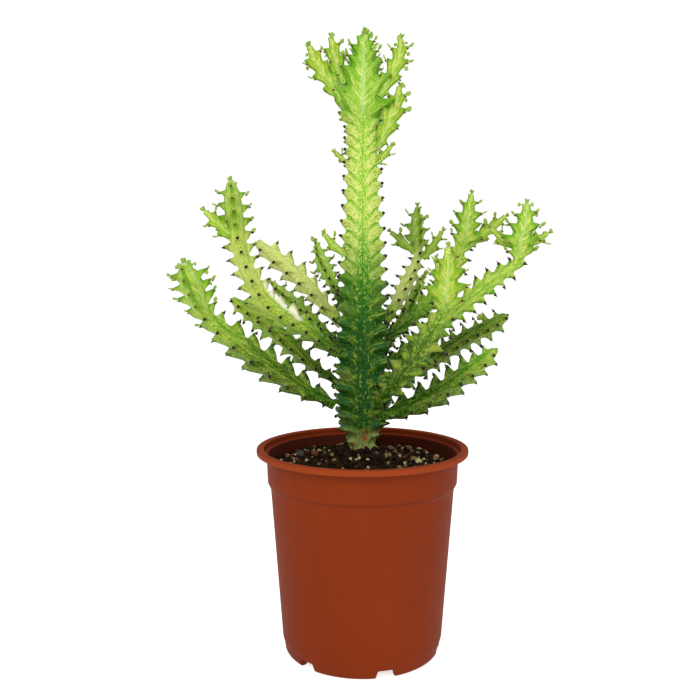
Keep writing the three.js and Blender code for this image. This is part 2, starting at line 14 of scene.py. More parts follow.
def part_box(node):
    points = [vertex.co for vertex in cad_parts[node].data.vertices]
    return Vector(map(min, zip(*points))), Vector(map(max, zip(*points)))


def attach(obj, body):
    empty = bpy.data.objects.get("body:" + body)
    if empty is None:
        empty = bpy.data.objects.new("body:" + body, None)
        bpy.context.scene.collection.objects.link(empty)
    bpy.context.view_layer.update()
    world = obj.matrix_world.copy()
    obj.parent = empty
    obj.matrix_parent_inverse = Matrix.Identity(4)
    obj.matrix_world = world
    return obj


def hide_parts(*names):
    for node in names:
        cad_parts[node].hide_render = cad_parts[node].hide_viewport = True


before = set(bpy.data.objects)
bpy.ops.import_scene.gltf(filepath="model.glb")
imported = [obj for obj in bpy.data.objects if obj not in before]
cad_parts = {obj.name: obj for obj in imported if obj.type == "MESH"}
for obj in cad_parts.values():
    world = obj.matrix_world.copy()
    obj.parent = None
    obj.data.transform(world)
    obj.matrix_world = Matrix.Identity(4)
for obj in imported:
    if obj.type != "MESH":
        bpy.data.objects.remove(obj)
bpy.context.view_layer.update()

MM = 0.001
POT_LOW, POT_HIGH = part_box("pot")
AXIS = np.array([(POT_LOW.x + POT_HIGH.x) / 2, (POT_LOW.y + POT_HIGH.y) / 2, 0])

# ---------- camera ----------

CAMERA_DISTANCE = 710.5
CAMERA_HEIGHT = 319.5
CAMERA_TURN = 0.014  # radians, towards -X
CAMERA_DIP = 0.104  # radians, downwards
LENS = 46.05
SENSOR = 36

# ---------- pot ----------

POT_SIDES = 192
RIM_RADIUS = 85
RIM_INNER_RADIUS = 79
RIM_TOP = 167.3
LIP_HEIGHT = 4.5
RIM_ROUND = 1.1
COLLAR_RADIUS = 77
COLLAR_BOTTOM = 140
WALL_TOP_RADIUS = 73.8
WALL_TOP = 135
WALL_FOOT_RADIUS = 65
WALL_FOOT = 11
FOOT_FLAT_RADIUS = 58.4
FOOT_INNER_RADIUS = 55
WALL = 2
BASE_UNDERSIDE = 8
BASE_TOP = 10
NOTCHES = 6
FIRST_NOTCH_ANGLE = 17  # degrees from the front towards +X
NOTCH_WIDTH = 15.4
NOTCH_HEIGHT = 7.4
NOTCH_ROUND = 1.5
DRAIN_RADIUS = 3.5
DRAIN_CIRCLE = 44
SHARP_EDGE = 38  # degrees; an edge that turns more stays sharp

# ---------- soil ----------

SOIL_LEVEL = 153.2
SOIL_RADIUS = 74.6
SOIL_DEPTH = 8  # of the soil that is made, under its surface
SOIL_RINGS = 74
SOIL_SECTORS = 240
MOUND = 13  # how much the soil rises at the stem's foot
MOUND_RADIUS = 33
STEM_HOLE = 14  # no crumbs, grains or roots nearer to the axis
# The larger stones: x, y, radius and kind.
STONES = [
    (14, -48, 4.0, "grey"), (-44, -36, 3.8, "red"), (-58, -8, 2.4, "tan"), (-35, -56, 2.2, "tan"),
    (31, -44, 3.2, "tan"), (52, -22, 3.0, "tan"), (-20, -40, 2.4, "red"), (60, 14, 2.6, "tan"),
    (-52, 30, 3.0, "grey"), (24, 52, 3.0, "tan"), (-12, 58, 2.4, "red"), (2, -62, 2.0, "pale"),
    (24, -36, 2.6, "tan"), (-9, -47, 2.6, "tan"), (38, -30, 2.2, "red"), (18, -12, 2.2, "tan"),
    (-24, -4, 2.6, "tan"), (22, -57, 2.2, "pale"), (-22, -58, 2.4, "pale"), (46, 6, 3.2, "pale"),
    (11, -17, 2.7, "grey"), (-3, -20, 1.7, "tan"), (20, -16, 1.8, "tan"), (-9, -21, 1.5, "pale"),
    (-15, -25, 1.9, "tan"), (29, -18, 2.1, "tan"), (34, -2, 1.9, "pale"), (-35, -3, 2.2, "red"),
    (-40, 29, 3.4, "red"), (-17, 3, 2.2, "tan"), (21, -7, 2.5, "tan"), (17, 11, 2.2, "tan"),
    (28, 43, 2.6, "tan"), (41, 51, 2.7, "tan"), (49, 50, 2.4, "pale"), (42, 9, 2.8, "tan"),
    (-64, 28, 1.8, "pale"), (-57, 27, 1.9, "pale"), (-28, -7, 2.3, "red"), (-22, -11, 2.0, "tan"),
    (31, 20, 2.4, "tan"), (53, 28, 2.3, "tan"), (-50, 47, 1.6, "pale"), (-42, 56, 1.7, "tan"),
    (-54, 9, 2.0, "red"), (62, 24, 2.2, "pale"), (-46, 12, 1.8, "pale"), (3, -34, 2.4, "tan"),
]
CRUMBS = 1500
MOUND_CRUMBS = 300
GRAINS = 400
ROOTS = 70
ROOT_STEPS = 7
ROOT_STEP = 1.4
SCATTER_RADIUS = 72.5  # crumbs, grains and roots start within it

# ---------- stems ----------

CORE_SHARE = 0.38  # groove radius as a share of the rib's reach
FLANK_SHARE = 0.15  # half thickness of a rib halfway out
END_ROUND = 7  # a stem without a head is rounded off over this length
HEAD_FADE = 12  # a stem's young head begins over this length
NECK_LENGTH = 14
NECK_ROUNDNESS = 0.34
SPAN_STEPS = 24  # steps between two points of a route
FRAME_STEPS = 60  # steps along a stem in which its first rib's way is worked out
ROWS = 18  # rows of faces to a tooth
SPINE_SHARE = 12 / ROWS  # where a tooth ends in its spine
HOOK_SPAN = 0.19  # how much of a tooth, below and above its point, is drawn up with it
YOUNG_HOOK = 0.1  # how much more a young tooth points up
PILLOW_TOP = 0.76  # the share of a tooth where a young flank stands out most
RIDGE = 0.72  # and where an old one does
PITCH_STEPS = 200
FLANK = [0, 0.09, 0.2, 0.32, 0.44, 0.55, 0.65, 0.74, 0.82, 0.89, 0.95, 1]  # rings of a flank, groove to edge
FLANK_END = 0.9  # where a flank turns into its rib's thin edge
EDGE_TURNS = 3  # faces round the thin edge of a rib
# The ways of the waves in the skin's unevenness, longer numbers for shorter waves.
RIPPLES = [
    (0.31, 0.11, 0.23), (-0.17, 0.37, 0.29), (0.53, -0.41, 0.19), (0.23, 0.61, -0.67), (-0.83, 0.47, 0.59),
]
CORK_TOP = 183  # the main stem's foot is corky up to this height
SMALL_SHOOT = 16  # length of a shoot that is still a knob with a few leaves
LEAF_STEPS = np.linspace(0, 1, 9)

# A stem's values. route: x, y, z and how far its ribs reach. facing: the way of its first rib. pitch: from
# tooth to tooth. tooth: how deep the notches are, as a share of the reach, and head_tooth in the young head,
# which has the length head and so many leaves as head_leaves. bay and floor: where a notch ends and how flat
# it is. lean and hook: how far creases slope and teeth point up. rings: how much the lobes show as pale
# rings. cream, deep, warm: how much cream fills them, how deep the green is and how much it turns to yellow.
# pitch and these three go by the share of the stem's length. The places of round leaves, white skin and
# scars have a radius as their last number.

MAIN_STEM = dict(
    node="main_stem", ribs=4, facing=(-1, -1, 0), core=0.46, neck=True,
    tooth=0.28, head_tooth=0.44, head=68, bay=(0, 1), floor=1.9, lean=0.75, hook=0.05, rings=1.0,
    pitch=(
        (0, 11), (0.13, 11), (0.24, 13.5), (0.39, 12), (0.5, 10), (0.58, 12), (0.71, 10.4), (0.77, 8),
        (0.81, 10), (0.845, 19), (0.9, 19), (0.925, 9), (1, 7.5),
    ),
    spine=1.3, head_leaves=9,
    cream=(
        (0, 0.2), (0.2, 0.2), (0.3, 0.1), (0.44, 0.35), (0.5, 0.8), (0.54, 1), (0.74, 1), (0.82, 0.5),
        (1, 0.3),
    ),
    deep=((0, 0.8), (0.1, 1), (0.3, 0.85), (0.44, 0.65), (0.5, 0.5), (0.53, 0.3), (0.6, 0.1), (1, 0)),
    warm=((0, 0.1), (1, 0)),
    scars=[(1.3, -10.5, 176, 3.1), (0.5, -11, 169, 2.5), (-13, -9, 175, 3)],
    route=[
        (0, 0, 155.5, 18), (0, 0, 178, 19), (0, 0, 186, 28), (0, 0, 205, 32), (0, 0, 240, 32),
        (0, 0, 285, 28), (0, 0, 330, 25), (0, 0, 364, 22), (0, 0, 400, 20), (0, 0, 423, 20),
        (0, 0, 434, 33), (0, 0, 455, 29), (0.5, 0, 468, 19), (1, 0, 482, 12), (1.5, 0, 489, 7),
    ],
    shoots=[
        [(-17, -14, 438, 5), (-24, -20, 449, 9), (-31, -24, 458, 10), (-36, -27, 466, 9), (-39, -28, 474, 3)],
        [(-15, -10, 450, 5), (-19, -8, 461, 8), (-22, -5, 474, 9), (-24, -3, 486, 3)],
        [(13, -12, 441, 5), (19, -14, 451, 9), (25, -15, 463, 10), (28, -14, 473, 8), (29, -14, 482, 3)],
        [(12, -12, 403, 5), (17, -14, 414, 9), (22, -15, 426, 11), (26, -14, 437, 9), (28, -13, 447, 3)],
        [(11, -10, 391, 3), (16, -15, 396, 5), (21, -17, 402, 3)],
        [(-11, -10, 391, 3), (-16, -13, 394, 4), (-20, -15, 398, 3)],
        [(-14, -18, 321, 4), (-20, -21, 326, 6), (-25, -23, 331, 5), (-28, -25, 336, 3)],
    ],
    round_leaves=[
        (6, -6, 487, 2.3), (3, -6, 491, 1.6), (8, -6, 477, 2.0), (13, -6, 469, 2.5), (-14, -6, 474, 1.5),
        (-11, -6, 482, 1.1), (0, -6, 491, 1.1), (-39, -27, 474, 1.8), (-43, -27, 468, 1),
        (-42, -27, 458, 1.1), (-24, -4, 486, 1.8), (-29, -4, 472, 1), (29, -14, 482, 2.2),
        (25, -14, 478, 1.2), (35, -14, 480, 0.9), (37, -14, 470, 1.2), (37, -14, 458, 1.4),
        (30, -13, 447, 1.6), (34, -13, 437, 1.2), (-20, -25, 396, 1.4),
    ],
)

BRANCHES = [
    dict(
        node="branch_left_low", cream=((0, 0.1), (0.3, 0.35), (0.7, 0.6), (1, 0.4)),
        deep=((0, 1), (0.3, 0.9), (0.55, 0.65), (0.8, 0.3), (1, 0.1)), warm=((0, 0.1), (0.5, 0.4), (1, 0.2)),
        facing=(0, -1, -0.2), pitch=((0, 17), (0.5, 17), (0.68, 14), (0.8, 10), (1, 8)), head_leaves=14,
        route=[
            (-22, -22, 205, 6), (-33, -26, 211, 8), (-48, -32, 219, 13), (-73, -44, 238, 17),
            (-98, -54, 260, 15), (-114, -59, 276, 10), (-121, -61, 289, 16), (-125, -62, 300, 18),
            (-128, -62, 308, 15), (-129, -62, 313, 7),
        ],
        round_leaves=[
            (-130, -62, 318, 1.8), (-126, -62, 318, 1.3), (-118, -62, 314, 1), (-109, -62, 308, 1.4),
            (-107, -62, 301, 1), (-136, -62, 312, 1.2), (-139, -62, 303, 1.1),
        ],
    ),
    dict(
        node="branch_left_front", cream=((0, 0.1), (0.25, 0.6), (0.6, 1.5), (1, 0.9)),
        deep=((0, 0.9), (0.25, 0.5), (0.5, 0.1), (1, 0)), warm=((0, 0.2), (0.6, 0.45), (1, 0.15)),
        head_leaves=12,
        route=[
            (-19, -22, 245, 6), (-31, -26, 254, 8), (-42, -30, 263, 12), (-59, -35, 274, 15),
            (-73, -40, 285, 14), (-83, -44, 303, 12.5), (-89, -46, 320, 12), (-93, -46, 336, 14),
            (-95, -46, 355, 14), (-96, -46, 366, 12), (-97, -46, 373, 6),
        ],
        shoots=[
            [(-93, -46, 333, 5), (-102, -50, 340, 7), (-108, -53, 346, 7), (-114, -54, 352, 3)],
        ],
        white=[
            (-74, -38, 305, 3.5), (-71, -38, 298, 3.5), (-67, -37, 293, 4), (-62, -36, 289, 5),
            (-57, -36, 285, 5.5), (-52, -35, 281, 5.5), (-48, -34, 276, 5),
        ],
    ),
    dict(
        node="branch_left_pale", cream=((0, 1), (0.3, 1.9), (1, 1.9)),
        deep=((0, 0.4), (0.25, 0), (1, 0)), warm=((0, 0.1), (1, 0.3)),
        facing=(0, -1, -0.25), pitch=((0, 15), (1, 14)), rings=0,
        route=[
            (-17, 22, 264, 6), (-31, 18, 279, 9), (-42, 14, 293, 12), (-56, 10, 306, 13),
            (-72, 4, 320, 12), (-84, 0, 330, 8),
        ],
    ),
    dict(
        node="branch_left_rear_low", cream=((0, 0.1), (0.4, 0.5), (1, 0.6)),
        deep=((0, 0.95), (0.5, 0.6), (1, 0.35)), warm=((0, 0.3), (1, 0.7)),
        pitch=((0, 14), (1, 11)),
        route=[
            (-19, 22, 215, 5), (-36, 26, 226, 6), (-50, 31, 236, 11), (-64, 36, 249, 15),
            (-85, 42, 265, 15), (-103, 50, 277, 12), (-112, 53, 283, 7),
        ],
    ),
    dict(
        node="branch_left_rear", pitch=((0, 12), (1, 9)), head_leaves=4,
        route=[
            (-19, 22, 246, 5), (-41, 36, 266, 9), (-57, 48, 279, 11), (-69, 56, 288, 10),
            (-78, 62, 297, 4),
        ],
    ),
    dict(
        node="branch_left_rear_high", pitch=((0, 11), (1, 9)), head_leaves=8,
        route=[(-16, 17, 281, 5), (-25, 37, 297, 8), (-35, 56, 315, 12), (-40, 67, 331, 4)],
    ),
    dict(
        node="branch_right_rear_high", cream=((0, 0.4), (0.2, 1.9), (0.7, 1.9), (1, 0.6)),
        deep=((0, 0.8), (0.15, 0.3), (0.3, 0), (1, 0)), pitch=((0, 12), (1, 9)), head_leaves=11, rings=0,
        route=[
            (19, 22, 266, 5), (30, 36, 284, 10), (37, 46, 296, 12), (43, 54, 308, 10), (47, 60, 319, 6),
            (47, 64, 334, 13), (47, 66, 349, 11), (47, 67, 361, 4),
        ],
        shoots=[
            [(44, 60, 323, 4), (35, 62, 331, 7), (25, 64, 340, 3)],
            [(51, 58, 318, 4), (58, 56, 326, 7), (67, 54, 340, 3)],
        ],
    ),
    dict(
        node="branch_right_rear", facing=(0, 1, 0), head_leaves=12, warm=((0, 0.1), (0.6, 0.4), (1, 0.15)),
        route=[
            (19, 22, 252, 5), (35, 27, 265, 10), (55, 36, 281, 13), (70, 40, 298, 13), (78, 42, 314, 11),
            (81, 42, 327, 10), (85, 42, 338, 16), (87, 42, 353, 13), (90, 42, 370, 4),
        ],
        shoots=[
            [(88, 42, 328, 4), (101, 42, 339, 8), (110, 42, 346, 7), (118, 42, 352, 3)],
            [(61, 36, 287, 4), (64, 32, 300, 8), (61, 30, 317, 4)],
        ],
    ),
    dict(
        node="branch_right_front", cream=((0, 0.1), (0.3, 0.3), (0.7, 0.5), (1, 0.5)),
        deep=((0, 1), (0.35, 0.95), (0.6, 0.7), (0.8, 0.3), (1, 0.1)), warm=((0, 0.5), (0.6, 0.7), (1, 0.6)),
        facing=(0, 1, 0), pitch=((0, 15), (1, 9)), head_leaves=10, rings=0.85,
        route=[
            (11, -20, 205, 6), (19, -36, 218, 10), (28, -50, 232, 15), (36, -59, 244, 17),
            (44, -66, 257, 18), (51, -72, 269, 16), (58, -77, 283, 8), (59, -79, 295, 18),
            (60, -80, 310, 13), (60, -80, 325, 4),
        ],
    ),
    dict(
        node="branch_right_high", facing=(0, 1, 0), head_leaves=12,
        route=[
            (19, 22, 229, 6), (35, 19, 242, 10), (55, 13, 259, 12), (74, 7, 276, 12), (87, 3, 288, 12),
            (101, 0, 300, 12), (112, -3, 308, 10), (121, -5, 316, 7), (123, -7, 332, 17),
            (126, -8, 346, 13), (127, -8, 359, 5),
        ],
        round_leaves=[(134, -8, 352, 2.4), (131, -8, 359, 1.3), (121, -8, 359, 1.2), (141, -8, 338, 1)],
        shoots=[
            [(120, -6, 326, 4), (110, -5, 332, 7), (101, -4, 341, 3)],
            [(127, -8, 328, 4), (134, -12, 332, 7), (142, -14, 337, 3)],
        ],
    ),
    dict(
        node="branch_right_middle", cream=((0, 0.1), (0.5, 0.5), (1, 0.6)),
        deep=((0, 1), (0.5, 0.9), (1, 0.65)), warm=((0, 0.2), (1, 0.45)),
        pitch=((0, 13), (1, 10)),
        route=[
            (19, 22, 214, 6), (34, 26, 221, 10), (53, 32, 230, 13), (73, 38, 242, 14), (92, 43, 253, 14),
            (109, 46, 261, 13), (122, 47, 270, 9),
        ],
        round_leaves=[(98, 44, 270, 3)],
    ),
    dict(
        node="branch_right_low", cream=((0, 0.1), (0.3, 0.3), (1, 0.6)),
        deep=((0, 1), (0.4, 0.95), (0.7, 0.7), (1, 0.4)), warm=((0, 0.1), (1, 0.2)),
        facing=(0, -1, -0.2), pitch=((0, 18), (0.4, 17), (0.7, 12.5), (1, 9)),
        route=[
            (14, -20, 196, 6), (23, -24, 199, 9), (34, -28, 203, 13), (49, -32, 210, 15),
            (63, -37, 219, 15), (75, -40, 229, 14), (85, -44, 237, 13), (93, -46, 244, 11),
            (99, -48, 251, 7),
        ],
    ),
    dict(
        node="branch_rear", pitch=((0, 12), (1, 9)), head_leaves=4,
        route=[
            (17, 22, 240, 5), (24, 44, 250, 8), (36, 60, 268, 10), (46, 72, 287, 9),
            (54, 80, 303, 4),
        ],
    ),
]

# What a branch has where its own row above says nothing else.
BRANCH = dict(
    neck=True, facing=(0, -1, 0), pitch=((0, 13), (1, 9)), tooth=0.48, head_tooth=0.45, head=42,
    head_leaves=0, bay=(0, 0.86), floor=4.5, lean=0.8, hook=0.12, rings=0.3,
    cream=((0, 0.1), (0.3, 0.5), (0.7, 0.85), (1, 0.6)),
    deep=((0, 0.95), (0.2, 0.7), (0.5, 0.3), (0.8, 0.1), (1, 0)), warm=((0, 0.1), (1, 0.15)),
)

# What every side shoot has, apart from its route.
SHOOT = dict(
    facing=(0, 1, 0), pitch=((0, 13), (1, 9)), tooth=0.46, head_tooth=0.46, bay=(0, 0.88), floor=2.8,
    lean=0.9, hook=0.15, rings=0.0, spine=1.2, head_leaves=6, shoot=True,
    cream=((0, 0.3), (1, 0.3)), deep=((0, 0.3), (0.4, 0)), warm=((0, 0.1), (0.4, 0.5), (1, 0.9)),
)


# ---------- helpers ----------


def srgb(red, green, blue):
    """A display colour, 0 to 255, as linear light with alpha."""
    parts = [c / 255 for c in (red, green, blue)]
    return tuple(c / 12.92 if c <= 0.04045 else ((c + 0.055) / 1.055) ** 2.4 for c in parts) + (1,)


def unit(v):
    return v / np.linalg.norm(v, axis=-1, keepdims=True)


def smooth(x, low, high):
    share = np.clip((x - low) / (high - low), 0, 1)
    return share * share * (3 - 2 * share)


def turned(v, axis, angle):
    """The vectors v turned about unit vectors axis by angle."""
    cos = np.cos(angle)[..., None]
    sin = np.sin(angle)[..., None]
    along = np.sum(v * axis, -1, keepdims=True) * axis
    return along + (v - along) * cos + np.cross(axis, v) * sin


def grid(rows, ring):
    """Faces between rows of points that each close on themselves."""
    row = np.arange(rows - 1)[:, None] * ring
    here = np.arange(ring)[None, :]
    after = (here + 1) % ring
    return np.stack([row + here, row + after, row + ring + after, row + ring + here], -1).reshape(-1, 4)


def spin(points, angle):
    """The points turned about +Z."""
    cos, sin = math.cos(angle), math.sin(angle)
    return points @ np.array([[cos, sin, 0], [-sin, cos, 0], [0, 0, 1]])


def capped(rings, low, high):
    """A closed body, as points, quads and triangles: rows of rings, and a fan to a point at each end."""
    rows, sides = rings.shape[:2]
    loop = np.arange(sides)
    last = loop + (rows - 1) * sides
    first_fan = np.stack([np.roll(loop, -1), loop, np.full(sides, rows * sides)], -1)
    last_fan = np.stack([last, np.roll(last, -1), np.full(sides, rows * sides + 1)], -1)
    points = np.vstack([rings.reshape(-1, 3), low, high])
    return points, grid(rows, sides), np.vstack([first_fan, last_fan])


def ripple(points):
    """A soft uneven field over space, about -1 to 1, with waves of 4 to 11 mm."""
    return sum(np.sin(points @ np.array(wave) * 1.4 + i * 2.1) for i, wave in enumerate(RIPPLES)) / 3


class Piece:
    """Collects points and faces, with named values on them, for one mesh of several materials."""

    def __init__(self):
        self.points, self.faces, self.slots, self.corner, self.point = [], [], [], {}, {}
        self.count = 0

    def add(self, points, faces, slot, corner=None, point=None, more=None):
        """faces and more hold triangles or quads; corner and point hold named values for the faces' corners
        and for the points."""
        for name, values in (corner or {}).items():
            self.corner.setdefault(name, {})[len(self.faces)] = values
        for name, values in (point or {}).items():
            self.point.setdefault(name, {})[len(self.points)] = values
        self.points.append(points)
        for part in (faces, more):
            if part is not None:
                self.faces.append(part + self.count)
                self.slots.append(slot)
        self.count += len(points)

    def mesh(self, name, materials):
        mesh = bpy.data.meshes.new(name)
        points = np.vstack(self.points) * MM + AXIS
        corners = np.concatenate([f.ravel() for f in self.faces])
        sizes = np.concatenate([np.full(len(f), f.shape[1]) for f in self.faces])
        mesh.vertices.add(len(points))
        mesh.loops.add(len(corners))
        mesh.polygons.add(len(sizes))
        mesh.vertices.foreach_set("co", points.ravel())
        mesh.loops.foreach_set("vertex_index", corners)
        mesh.polygons.foreach_set("loop_start", np.concatenate([[0], np.cumsum(sizes)[:-1]]))
        slots = np.concatenate([np.full(len(f), s) for f, s in zip(self.faces, self.slots)])
        mesh.polygons.foreach_set("material_index", slots)
        mesh.polygons.foreach_set("use_smooth", np.ones(len(sizes), bool))
        for name_, store in self.corner.items():
            values = [store.get(i, np.zeros((f.size, 3))).reshape(-1, 3) for i, f in enumerate(self.faces)]
            layer = mesh.attributes.new(name_, "FLOAT_VECTOR", "CORNER")
            layer.data.foreach_set("vector", np.vstack(values).ravel())
        for name_, store in self.point.items():
            values = [store.get(i, np.zeros(len(p))) for i, p in enumerate(self.points)]
            layer = mesh.attributes.new(name_, "FLOAT", "POINT")
            layer.data.foreach_set("value", np.concatenate(values))
        for material in materials:
            mesh.materials.append(material)
        mesh.update(calc_edges=True)
        mesh.validate()
        return mesh


def link(name, data):
    """A new object in the scene."""
    thing = bpy.data.objects.new(name, data)
    bpy.context.scene.collection.objects.link(thing)
    return thing


def stand_in(piece, node):
    """Puts a piece under the root body in place of a CAD node, which it hides."""
    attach(piece, "root")
    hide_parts(node)


# ---------- material nodes ----------


class Value:
    """A node's output. Arithmetic with it adds Math nodes to its material."""

    def __init__(self, shader, socket):
        self.shader, self.socket = shader, socket

    def __add__(self, other):
        return self.shader.math("ADD", self, other)

    def __radd__(self, other):
        return self.shader.math("ADD", other, self)

    def __sub__(self, other):
        return self.shader.math("SUBTRACT", self, other)

    def __rsub__(self, other):
        return self.shader.math("SUBTRACT", other, self)

    def __mul__(self, other):
        return self.shader.math("MULTIPLY", self, other)

    def __truediv__(self, other):
        return self.shader.math("DIVIDE", self, other)

    def __abs__(self):
        return self.shader.math("ABSOLUTE", self)


class Shader:
    """A material and short calls that add nodes to it. Three numbers from 0 to 255 are a display colour."""

    def __init__(self, name):
        self.material = bpy.data.materials.new(name)
        self.material.use_nodes = True
        self.tree = self.material.node_tree
        self.surface = self.tree.nodes["Principled BSDF"]

    def set(self, socket, value):
        if isinstance(value, Value):
            self.tree.links.new(value.socket, socket)
        else:
            socket.default_value = value

    def finish(self, **values):
        """Sets the surface's inputs, such as base_color."""
        for name, value in values.items():
            socket = next(s for s in self.surface.inputs if s.name.lower() == name.replace("_", " "))
            self.set(socket, value)
        return self.material

    def node(self, kind, output, inputs, **settings):
        node = self.tree.nodes.new("ShaderNode" + kind)
        for name, value in settings.items():
            setattr(node, name, value)
        for name, value in inputs.items():
            self.set(node.inputs[name], value)
        return Value(self, node.outputs[output])

    def math(self, operation, a, b=0.0):
        return self.node("Math", 0, {0: a, 1: b}, operation=operation)

    def step(self, value, low, high):
        """0 below low and 1 above high, or the other way round where high is the lower."""
        flip = high < low
        inputs = {"Value": value, "From Min": min(low, high), "From Max": max(low, high)}
        inputs.update({"To Min": 1.0 if flip else 0.0, "To Max": 0.0 if flip else 1.0})
        return self.node("MapRange", 0, inputs, interpolation_type="SMOOTHSTEP")

    def mix(self, share, a, b):
        a, b = (srgb(*c) if isinstance(c, tuple) and len(c) == 3 else c for c in (a, b))
        return self.node("Mix", 2, {0: share, 6: a, 7: b}, data_type="RGBA")

    def attribute(self, name, output="Fac"):
        return self.node("Attribute", output, {}, attribute_name=name)

    def split(self, vector):
        return [self.node("SeparateXYZ", i, {0: vector}) for i in range(3)]

    def join(self, x, y, z):
        return self.node("CombineXYZ", 0, {0: x, 1: y, 2: z})

    def place(self):
        """The point in the object's own frame, in metres."""
        return self.node("TexCoord", "Object", {})

    def stretch(self, vector, scale, offset=(0, 0, 0)):
        return self.node("Mapping", 0, {"Vector": vector, "Scale": scale, "Location": offset})

    def cloud(self, vector, scale, detail=2.0, roughness=0.5):
        inputs = {"Vector": vector, "Scale": scale, "Detail": detail, "Roughness": roughness}
        return self.node("TexNoise", 0, inputs)

    def cells(self, vector, scale=1.0):
        """The distance to the nearest of scattered points."""
        return self.node("TexVoronoi", "Distance", {"Vector": vector, "Scale": scale})

    def bump(self, height, strength, distance):
        return self.node("Bump", 0, {"Height": height, "Strength": strength, "Distance": distance})


def spotted_material(name, low, high, scale, detail=2, **surface):
    """For small parts: soft spots of two colours."""
    m = Shader(name)
    return m.finish(base_color=m.mix(m.cloud(m.place(), scale, detail), low, high), **surface)


# ---------- stem shape ----------


class StemAxis:
    """A stem's centre line, with its place, direction, normal and reach at each share of its length."""

    def __init__(self, route, facing):
        route = np.array(route, float)
        ends = [2 * route[0] - route[1]], [2 * route[-1] - route[-2]]
        p = np.vstack([ends[0], route, ends[1]])[:, :3]
        steps = np.linspace(0, 1, SPAN_STEPS, endpoint=False)[:, None]
        spans = []
        for i in range(len(route) - 1):
            a, b, c, d = p[i : i + 4]
            spans.append(
                b + 0.5 * steps * (c - a) + steps**2 * (a - 2.5 * b + 2 * c - 0.5 * d)
                + steps**3 * (1.5 * (b - c) + 0.5 * (d - a))
            )
        self.line = np.vstack(spans + [route[-1:, :3]])
        hops = np.linalg.norm(np.diff(self.line, axis=0), axis=1)
        self.marks = np.concatenate([[0], np.cumsum(hops)])
        self.length = self.marks[-1]
        self.marks = self.marks / self.length
        self.reaches = self.marks[::SPAN_STEPS], route[:, 3]
        self.ways = unit(np.gradient(self.line, self.marks, axis=0))
        self.stations = np.linspace(0, 1, FRAME_STEPS + 1)
        normal = np.array(facing, float)
        normals = []
        for way in self.way(self.stations):
            normal = unit(normal - way * (normal @ way))
            normals.append(normal)
        self.normals = np.array(normals)

    def along(self, u, marks, values):
        return np.stack([np.interp(u, marks, values[:, i]) for i in range(3)], -1)

    def point(self, u):
        return self.along(u, self.marks, self.line)

    def way(self, u):
        return unit(self.along(u, self.marks, self.ways))

    def normal(self, u):
        return unit(self.along(u, self.stations, self.normals))

    def reach(self, u):
        return np.interp(u, *self.reaches)


